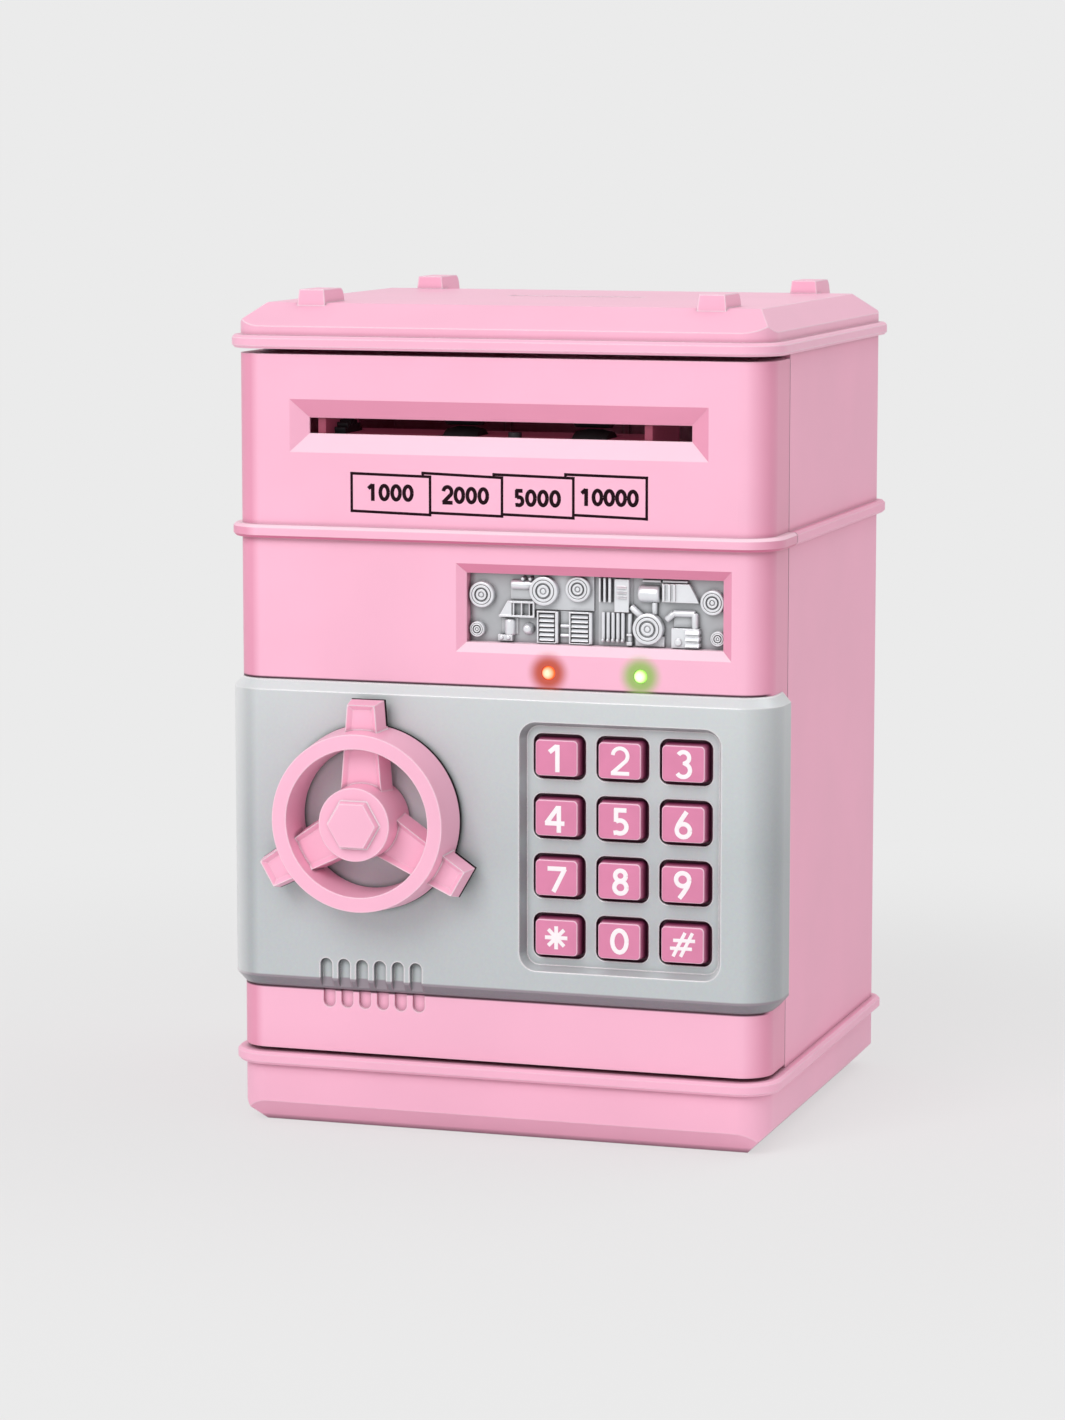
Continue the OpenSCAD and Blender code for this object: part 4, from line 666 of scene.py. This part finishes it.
# Centre lines of the signs, in millimetres from the middle of a key's face
FIGURES = {
    "1": [[(-1.6, 1.3), (0.1, 2.7)], [(0.25, 3.0), (0.25, -3.1)]],
    "2": [bow(0.15, 1.15, 1.7, 1.7, 175, -38) + [(-1.7, -2.75)], [(-1.95, -2.75), (2.25, -2.75)]],
    "3": [bow(0.05, 1.4, 1.3, 1.25, 150, -80) + bow(0, -1.35, 1.55, 1.5, 80, -150)],
    "4": [[(0.6, 2.8), (0.6, -3.2)], [(0.4, 2.5), (-2.3, -1.2)], [(-2.6, -1.15), (1.9, -1.15)]],
    "5": [[(1.65, 2.5), (-1.2, 2.5)], [(-0.75, 2.8), (-0.75, -0.1)],
          bow(0.15, -1.2, 1.5, 1.45, 128, -118) + [(-1.3, -2.6)]],
    "6": [bow(0.1, -1.3, 1.5, 1.45, 0, 360), [(0.85, 2.9), (-0.3, 1.15), (-1.05, -0.1), (-1.36, -1.0)]],
    "7": [[(-2.0, 2.1), (2.3, 2.1)], [(2.0, 2.15), (-0.65, -3.1)]],
    "8": [bow(0.3, 1.3, 1.2, 1.15, 0, 360), bow(0.3, -1.3, 1.4, 1.35, 0, 360)],
    "9": [bow(0, 1.2, 1.5, 1.45, 0, 360), [(1.48, 0.9), (1.1, -0.3), (0.3, -1.6), (-0.75, -3.0)]],
    "0": [bow(0.1, 0, 1.65, 2.45, 0, 360)],
    "star": [[(-2.6 * cos(a), -2.6 * sin(a)), (2.6 * cos(a), 2.6 * sin(a))]
             for a in (0, radians(45), radians(90), radians(135))],
    "hash": [[(-2.1, -2.6), (0.6, 2.8)], [(-0.4, -2.6), (2.3, 2.8)], [(-2.1, 1.0), (2.9, 1.0)],
             [(-2.8, -0.8), (2.2, -0.8)]],
}
THIN_FIGURES = {"2": 0.85, "3": 0.95, "hash": 0.75, "star": 0.85}


def stroke(points, width, name):
    """One printed line along the points: a round bead pressed nearly flat."""
    bpy.ops.object.select_all(action="DESELECT")
    bpy.ops.curve.primitive_bezier_curve_add()
    line = bpy.context.object
    line.name = name
    curve = line.data
    curve.splines.clear()
    run = curve.splines.new("POLY")
    run.points.add(len(points) - 1)
    for point, (x, z) in zip(run.points, points):
        point.co = (x, 0, z, 1)
    curve.bevel_depth = width / 2
    curve.bevel_resolution = 2
    curve.use_fill_caps = True
    bpy.ops.object.convert(target="MESH")
    bpy.ops.object.mode_set(mode="EDIT")
    bpy.ops.mesh.select_all(action="SELECT")
    bpy.ops.mesh.remove_doubles(threshold=0.005 * MM)
    bpy.ops.transform.resize(value=(1, INK / width, 1), center_override=(0, 0, 0))
    return finish_edit(bpy.context.object, smooth=60)


def figure(text, wide, tall, width, name):
    """A sign of several strokes, its width and height given as shares of a key's sign."""
    return join([stroke([(x * wide * MM, z * tall * MM) for x, z in points], width, "stroke")
                 for points in FIGURES[text]], name)


def moved(piece, place):
    only(piece)
    piece.location = place
    bpy.ops.object.transform_apply(location=True, rotation=True, scale=True)
    return piece


def key_cap(low, high, edge):
    """Key cap: a drafted block with round corners and an eased face, on the flange behind the panel."""
    wide, tall, draft, corner = 10.4 * MM, 8.7 * MM, 0.8 * MM, 0.95 * MM
    flange, flange_corner = 0.6 * MM, 1.5 * MM
    depth = high.y - low.y - flange
    cap = start_block("cap", (0, depth / 2, 0), (wide, depth, tall))
    pick_front()
    bpy.ops.transform.resize(value=(1 - draft / wide, 1, 1 - draft / tall))
    pick("EDGE", lambda e: run_along(e, "y") > MM)
    bpy.ops.mesh.bevel(offset=corner, segments=6, profile=0.5)
    pick_front()
    bpy.ops.mesh.bevel(offset=edge, segments=4, profile=0.5)
    finish_edit(cap, smooth=50)
    plate = start_block("flange", (0, depth + flange / 2, 0), (high.x - low.x, flange, high.z - low.z))
    pick("EDGE", lambda e: run_along(e, "y") > 0.5 * MM)
    bpy.ops.mesh.bevel(offset=flange_corner, segments=4, profile=0.5)
    finish_edit(plate)
    return join([cap, plate], "cap")


class BANK_OT_keys(bpy.types.Operator):
    """Models the twelve key caps and prints their signs on them"""
    bl_idname = "bank.keys"
    bl_label = "Keys"

    def execute(self, context):
        sizes = context.scene.bank_sizes
        cap = key_cap(*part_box("key_5"), sizes.key_edge)
        for node in KEYS:
            low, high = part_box(node)
            centre = Vector(((low.x + high.x) / 2, KEY_FACE_Y, (low.z + high.z) / 2))
            twin = copy_of(cap, f"cap_{node}", place=centre)
            dress(twin, "key pink ABS", node, "key_pink", node)
            text = node.removeprefix("key_")
            sign = figure(text, 1, 1, sizes.key_line * THIN_FIGURES.get(text, 1), f"sign_{node}")
            dress(moved(sign, centre), "white key ink", node, "key_pink")
        bpy.data.objects.remove(cap)
        return {"FINISHED"}


# Number boxes: text, left, right, lower edge at the left and right, upper edge at the left and right, and
# the figures' middle height
BOXES = [
    ("1000", -33.7, -15.3, 140.7, 140.25, 149.05, 148.7, 144.95),
    ("2000", -17.0, 1.4, 140.75, 140.4, 149.5, 148.9, 144.8),
    ("5000", -0.5, 17.8, 140.85, 140.45, 149.6, 149.2, 144.6),
    ("10000", 16.0, 34.5, 141.15, 140.7, 150.0, 149.7, 145.15),
]
# From figure to figure by the number's length, how far they stand from the box's middle, and their size as
# shares of a key's sign
DIGIT_PITCH = {4: 2.78, 5: 2.68}
DIGIT_SHIFT = -0.2
DIGIT_WIDE, DIGIT_TALL = 0.56, 0.62


class BANK_OT_number_boxes(bpy.types.Operator):
    """Prints the four number boxes on the front, each one partly behind the one on its left"""
    bl_idname = "bank.number_boxes"
    bl_label = "Number boxes"

    def execute(self, context):
        sizes = context.scene.bank_sizes
        half = sizes.box_line / MM / 2
        hidden_to, hidden_top = None, None
        for text, left, right, low_left, low_right, top_left, top_right, height in BOXES:
            foot = left if hidden_to is None else hidden_to
            rise = (top_right - top_left) / (right - left)
            lines = [[(foot, low_left), (right + half, low_right)],
                     [(right, low_right - half), (right, top_right + half)],
                     [(left - half, top_left - rise * half), (right + half, top_right + rise * half)],
                     [(left, low_left - half if hidden_top is None else hidden_top), (left, top_left + half)]]
            parts = [stroke([(x * MM, z * MM) for x, z in line], sizes.box_line, "side") for line in lines]
            middle_x = (foot + right) / 2 + DIGIT_SHIFT
            for i, digit in enumerate(text):
                shape = figure(digit, DIGIT_WIDE, DIGIT_TALL, sizes.print_line, "digit")
                x = middle_x + (i - (len(text) - 1) / 2) * DIGIT_PITCH[len(text)]
                parts.append(moved(shape, Vector((x, 0, height)) * MM))
            box = moved(join(parts, f"box_{text}"), (0, FRONT_Y, 0))
            dress(box, "dark box ink", "door", "pink_abs")
            hidden_to, hidden_top = right, top_right
        return {"FINISHED"}


# Relief behind the window: places in mm from the window's lower left corner, heights in mm from its ground
RELIEF_WINDOW = Vector((-7.2, 0, 112.2)) * MM
RELIEF_DISCS = [  # right, up, radius, foot, height
    (3.05, 10.5, 2.85, 0, 1.7), (1.95, 2.75, 1.7, 0, 1.5), (17.6, 11.8, 3.2, 0.6, 2.3),
    (25.4, 12.4, 2.8, 0.6, 1.9), (41.5, 4.2, 3.4, 0.5, 2.3), (56.0, 10.4, 2.7, 0, 1.7),
    (57.2, 2.5, 1.65, 0, 1.5),
]
RELIEF_BLOCKS = [  # left, low, right, top, height
    (9.4, 9.6, 14.9, 12.2, 0.35), (14.9, 7.5, 28.9, 15.6, 0.6), (6.8, 0.35, 10.2, 1.8, 1.5),
    (8.9, 8.75, 15.3, 9.35, 1.3), (6.9, 5.6, 15.3, 6.2, 1.3), (14.75, 5.8, 15.3, 9.2, 1.25),
    (10.05, 6, 10.55, 9, 1.1), (11.95, 6, 12.4, 9, 1.1), (13.8, 6, 14.2, 9, 1.1),
    (7.4, 1.8, 11.3, 5.5, 0.3), (20.9, 0.2, 23.2, 7.5, 0.25), (29.7, 0, 37.6, 15.6, 0.35),
    (30.2, 9.7, 30.75, 15.2, 2.0), (31.25, 9.7, 31.9, 15.2, 2.0), (32.4, 9.7, 33.1, 15.2, 2.0),
    (33.7, 7.6, 37.1, 15.0, 1.7), (36.5, 2.4, 37.8, 3.0, 1.7), (36.5, 0.3, 37.8, 1.2, 1.7),
    (38.3, 0.2, 45.0, 2.6, 0.9), (39.9, 14.35, 44.2, 14.95, 1.0), (44.6, 14.4, 50.3, 15.0, 1.2),
    (44.7, 10.3, 45.3, 14.2, 1.9), (45.9, 10.3, 46.6, 14.2, 1.9), (47.1, 10.3, 47.7, 14.2, 1.9),
    (46.7, 0.15, 53.0, 4.6, 1.7), (46.9, 4.6, 52.6, 7.4, 0.35),
]
RELIEF_RODS = [  # from, to, radius, height of the centre line
    ((9.7, 12.9), (15.2, 12.9), 1.1, 0.35), ((9.4, 1.6), (9.4, 5.2), 1.3, 0.3),
    ((21.2, 4.1), (23.4, 4.1), 0.42, 0.8), ((21.2, 2.0), (23.4, 2.0), 0.42, 0.8),
    ((37.1, 0.4), (37.1, 7.4), 0.55, 0.7), ((37.3, 8.9), (40.2, 6.4), 0.75, 0.8),
    ((42.7, 7.3), (42.7, 10), 0.62, 0.7), ((45.4, 6.2), (47.2, 7.8), 0.72, 0.9),
    ((47.0, 7.75), (52.0, 7.75), 0.72, 0.9), ((51.9, 7.9), (51.9, 4.4), 0.72, 0.9),
    ((39.0, 11.8), (44.0, 11.8), 1.95, 0.2),
] + [((31.1 + 1.12 * i, 0.9), (31.1 + 1.12 * i, 7.5), 0.44, 1.05) for i in range(5)]
RELIEF_KNOBS = [  # right, up, radius, height, share of the radius left at the top
    (12.65, 14.3, 0.6, 1.9, 0.6), (14.4, 14.3, 0.6, 1.9, 0.6), (13.7, 3.2, 1.5, 2.1, 0.55),
    (48.4, 1.5, 0.85, 2.2, 0.9), (7.7, 1.1, 0.7, 1.9, 0.6), (9.3, 1.1, 0.7, 1.9, 0.6),
] + [(31.1 + 1.12 * i, 1.4, 0.5, 1.9, 0.6) for i in range(5)]
RELIEF_LOUVRES = [(15.8, 20.8), (23.2, 28.6)]
RELIEF_SLATS = [(34.3, 12.9 - 1.1 * i, 36.6, 13.5 - 1.1 * i, 2.2) for i in range(3)] + [
    (49.9, 0.5 + 1.4 * i, 53.2, 1.4 + 1.4 * i, 2.3) for i in range(3)]
DISC_RINGS = [  # inset as a share of the radius, then rise in millimetres
    (0.06, 0.12), (0.14, 0), (0.03, -0.35), (0.03, 0.4), (0.17, 0), (0.04, -0.6), (0.07, 0), (0.04, 0.6),
    (0.16, 0), (0.05, -0.3), (0.03, 0), (0.03, 0.25),
]


def relief_spot(right, up, out):
    return RELIEF_WINDOW + Vector((right * MM, RELIEF_Y - out * MM, up * MM))


def relief_disc(right, up, radius, foot, height):
    """A round boss turned in rings, its foot sunk a little."""
    sunk = 0.3
    disc = start(bpy.ops.mesh.primitive_cylinder_add, "disc", vertices=40, radius=radius * MM,
                 depth=(height - foot + sunk) * MM, rotation=(pi / 2, 0, 0),
                 location=relief_spot(right, up, (height + foot - sunk) / 2))
    pick_front()
    for share, rise in DISC_RINGS:
        bpy.ops.mesh.inset(thickness=share * radius * MM)
        bpy.ops.transform.translate(value=(0, -rise * MM, 0))
    return finish_edit(disc)


def relief_block(left, low, right, top, height, lean=0):
    """A block whose face is drawn in a little; a lean pushes its upper front edge back, as on a slat."""
    sunk, draft = 0.2, 0.16 * MM
    block = start_block("block", relief_spot((left + right) / 2, (low + top) / 2, (height - sunk) / 2),
                        ((right - left) * MM, (height + sunk) * MM, (top - low) * MM))
    pick_front()
    bpy.ops.transform.resize(value=(1 - draft / block.dimensions.x, 1, 1 - draft / block.dimensions.z))
    if lean:
        centre = relief_spot(0, (low + top) / 2, height - 0.01)
        pick("EDGE", lambda e: middle(e).y < centre.y and middle(e).z > centre.z
             and run_along(e, "z") < 0.01 * MM)
        bpy.ops.transform.translate(value=(0, lean * MM, 0))
    return finish_edit(block)


def relief_rod(begin, end, radius, out):
    """A pipe between two places, its ends rounded off."""
    a, b = relief_spot(*begin, out), relief_spot(*end, out)
    run = b - a
    turn = Vector((0, 0, 1)).rotation_difference(run).to_euler()
    rod = start(bpy.ops.mesh.primitive_cylinder_add, "rod", vertices=20, radius=radius * MM, depth=run.length,
                location=(a + b) / 2, rotation=turn)
    pick("FACE", lambda f: len(f.verts) > 4)
    bpy.ops.mesh.bevel(offset=radius * 0.35 * MM, segments=3, profile=0.5)
    return finish_edit(rod)


def relief_knob(right, up, radius, height, share):
    """A drafted stud with a rounded top, its foot sunk a little."""
    sunk = 0.2
    knob = start(bpy.ops.mesh.primitive_cone_add, "knob", vertices=28, radius1=radius * MM,
                 radius2=radius * share * MM, depth=(height + sunk) * MM, rotation=(pi / 2, 0, 0),
                 location=relief_spot(right, up, (height - sunk) / 2))
    pick_front()
    bpy.ops.mesh.bevel(offset=0.25 * radius * MM, segments=3, profile=0.5)
    return finish_edit(knob)


def relief_wedge(corners, height):
    """A block cut off by a slanting line from its foot to its top; the larger part stays."""
    (left, low), (right, top), (cut_low, cut_top) = corners
    wedge = relief_block(left, low, right, top, height)
    a, b = relief_spot(cut_low, low, 0), relief_spot(cut_top, top, 0)
    only(wedge)
    bpy.ops.object.mode_set(mode="EDIT")
    bpy.ops.mesh.select_all(action="SELECT")
    run = (b - a).normalized()
    cut_is_left = cut_low < (left + right) / 2
    bpy.ops.mesh.bisect(plane_co=a, plane_no=(run.z, 0, -run.x), use_fill=True, clear_inner=cut_is_left,
                        clear_outer=not cut_is_left)
    return finish_edit(wedge)


def relief_louvre(left, right):
    """A framed louvre of six slats that lean back."""
    frame_sides = [(left, 0.2, left + 0.5, 7.3, 1.5), (right - 0.8, 0.2, right, 7.3, 1.5),
                   (left, 6.9, right - 0.5, 7.4, 1.6), (left, 0.1, right - 0.5, 0.5, 1.6)]
    slats = [(left + 0.5, 0.67 + 1.04 * i, right - 0.9, 1.52 + 1.04 * i, 1.5) for i in range(6)]
    return [relief_block(*side) for side in frame_sides] + [relief_block(*slat, lean=0.5) for slat in slats]


class BANK_OT_relief(bpy.types.Operator):
    """Models the silvered relief of discs, pipes, louvres and boxes behind the window"""
    bl_idname = "bank.relief"
    bl_label = "Relief"

    def execute(self, context):
        low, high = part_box("relief_plate")
        ground = Vector((low.x, RELIEF_Y, low.z))
        plate = start_block("plate", (ground + high) / 2, high - ground)
        parts = [finish_edit(plate)]
        parts += [relief_disc(*disc) for disc in RELIEF_DISCS]
        parts += [relief_block(*block) for block in RELIEF_BLOCKS]
        parts += [relief_block(*slat, lean=0.5) for slat in RELIEF_SLATS]
        parts += [relief_rod(*rod) for rod in RELIEF_RODS]
        parts += [relief_knob(*knob) for knob in RELIEF_KNOBS]
        for span in RELIEF_LOUVRES:
            parts += relief_louvre(*span)
        parts.append(relief_wedge(((6.9, 5.7), (10.0, 9.3), (6.9, 9.0)), 1.25))
        parts.append(relief_wedge(((44.5, 10.1), (53.0, 14.3), (52.9, 50.7)), 1.5))
        relief = join(parts, "relief")
        ease_edges(relief, context.scene.bank_sizes.relief_edge, segments=2, angle=32)
        dress(relief, "silver relief paint", "door", "relief_silver", "relief_plate")
        return {"FINISHED"}


# Lamps

class BANK_OT_lamps(bpy.types.Operator):
    """Models the two lit lamps: a round nose, a barrel and a flange behind the wall"""
    bl_idname = "bank.lamps"
    bl_label = "Lamps"

    def execute(self, context):
        radius, flange_radius, barrel, flange = 1.5 * MM, 1.9 * MM, 2.1 * MM, 1 * MM
        for led in LEDS:
            nose = Vector((led.x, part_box(led.node)[0].y + radius, LED_Z))
            lens = start(bpy.ops.mesh.primitive_uv_sphere_add, f"lens_{led.node}", segments=32, ring_count=24,
                         radius=radius, location=nose, rotation=(pi / 2, 0, 0))
            bpy.ops.mesh.bisect(plane_co=nose, plane_no=(0, 1, 0), use_fill=True, clear_outer=True)
            pick("FACE", lambda f: f.normal.y > 0.9 and abs(f.calc_center_median().y - nose.y) < 0.01 * MM)
            bpy.ops.mesh.extrude_region_move(TRANSFORM_OT_translate={"value": (0, barrel, 0)})
            bpy.ops.mesh.extrude_region_move(TRANSFORM_OT_translate={"value": (0, 0, 0)})
            bpy.ops.transform.resize(value=(flange_radius / radius, 1, flange_radius / radius))
            bpy.ops.mesh.extrude_region_move(TRANSFORM_OT_translate={"value": (0, flange, 0)})
            finish_edit(lens)
            dress(lens, f"{led.slot} lamp", "door", led.slot)
        return {"FINISHED"}


# Studio

def lamp(name, place, size, power):
    """A square area lamp aimed at the middle of the bank."""
    bpy.ops.object.light_add(type="AREA", location=place)
    light = bpy.context.object
    light.name = name
    light.data.shape = "SQUARE"
    light.data.size = size
    light.data.energy = power
    light.rotation_euler = (Vector((0, 0, 0.1)) - light.location).to_track_quat("-Z", "Y").to_euler()


def seen_share(tree):
    """One where a surface is looked at, directly or in a reflection, and nought where it only gives light."""
    path = add(tree, "LightPath").outputs
    seen = maths(tree, "MAXIMUM", path["Is Camera Ray"], path["Is Glossy Ray"])
    return maths(tree, "MAXIMUM", seen, path["Is Transmission Ray"])


class BANK_OT_studio(bpy.types.Operator):
    """Sets up the pale floor, the soft light and the camera at the photograph's angle"""
    bl_idname = "bank.studio"
    bl_label = "Studio"

    def execute(self, context):
        light = context.scene.bank_light
        pale = srgb("#ebebeb")
        bpy.ops.object.select_all(action="DESELECT")
        bpy.ops.mesh.primitive_plane_add(size=3, location=(0, 0, 0))
        floor = bpy.context.object
        floor.name = "floor"
        # Matt white card: it keeps the object's shadow and fades out into the pale surroundings
        paper = bpy.data.materials.new("white card")
        paper.use_nodes = True
        tree = paper.node_tree
        shader = tree.nodes["Principled BSDF"]
        card = mix(tree, add(tree, "LightPath").outputs["Is Camera Ray"], srgb("#efefef"), srgb("#e2e2e2"))
        fill(tree, shader, {"Base Color": card, "Roughness": 0.9, "Specular IOR Level": 0})
        place = add(tree, "TexCoord").outputs["Object"]
        reach = add(tree, "VectorMath", {0: place}, operation="LENGTH").outputs["Value"]
        far = ramp(tree, reach, 0.14, 0.36, 0.7, 1.0, interpolation_type="SMOOTHSTEP")
        plain = add(tree, "Emission", {"Color": pale})
        share = maths(tree, "MULTIPLY", seen_share(tree), far)
        faded = add(tree, "MixShader", {0: share, 1: shader.outputs[0], 2: plain.outputs[0]})
        fill(tree, tree.nodes["Material Output"], {"Surface": faded.outputs[0]})
        floor.data.materials.append(paper)

        world = bpy.data.worlds.new("pale room")
        context.scene.world = world
        world.use_nodes = True
        tree = world.node_tree
        sky = tree.nodes["Background"]
        fill(tree, sky, {"Color": WHITE, "Strength": light.sky})
        wall = add(tree, "Background", {"Color": pale, "Strength": 1.0})
        room = add(tree, "MixShader", {0: seen_share(tree), 1: sky.outputs[0], 2: wall.outputs[0]})
        fill(tree, tree.nodes["World Output"], {"Surface": room.outputs[0]})

        lamp("key lamp", (-0.25, -1.05, 0.9), 0.7, light.key)
        lamp("side lamp", (1.2, -0.3, 0.45), 0.8, light.side)
        lamp("top lamp", (0.4, 0.35, 1.05), 0.6, light.top)

        # The photograph was taken from 17.6 degrees to the right and 7.8 degrees above
        bpy.ops.object.camera_add(location=(0.296975, -0.964022, 0.228639),
                                  rotation=(radians(82.203), 0, radians(17.565)))
        camera = bpy.context.object
        camera.data.lens = 110.82
        camera.data.sensor_width = 36
        context.scene.camera = camera
        context.scene.view_settings.view_transform = "Standard"
        return {"FINISHED"}


class BANK_PT_sidebar(bpy.types.Panel):
    """The coin bank's pieces, sizes and colours"""
    bl_label = "Coin bank"
    bl_space_type = "VIEW_3D"
    bl_region_type = "UI"
    bl_category = "Coin bank"

    def draw(self, context):
        for group in (context.scene.bank_colours, context.scene.bank_sizes, context.scene.bank_light):
            box = self.layout.box()
            for name in group.__annotations__:
                box.prop(group, name)
        for operator in STEPS:
            self.layout.operator(operator.bl_idname)


STEPS = (BANK_OT_finishes, BANK_OT_handwheel, BANK_OT_keys, BANK_OT_number_boxes, BANK_OT_relief,
         BANK_OT_lamps, BANK_OT_studio)
GROUPS = {"bank_colours": BankColours, "bank_sizes": BankSizes, "bank_light": BankLight}


def register():
    for name, group in GROUPS.items():
        bpy.utils.register_class(group)
        setattr(bpy.types.Scene, name, PointerProperty(type=group))
    for item in STEPS + (BANK_PT_sidebar,):
        bpy.utils.register_class(item)


def unregister():
    for item in (BANK_PT_sidebar,) + STEPS:
        bpy.utils.unregister_class(item)
    for name, group in GROUPS.items():
        delattr(bpy.types.Scene, name)
        bpy.utils.unregister_class(group)


def main():
    register()
    bpy.ops.bank.finishes()
    bpy.ops.bank.handwheel()
    bpy.ops.bank.keys()
    bpy.ops.bank.number_boxes()
    bpy.ops.bank.relief()
    bpy.ops.bank.lamps()
    bpy.ops.bank.studio()


if __name__ == "__main__":
    main()
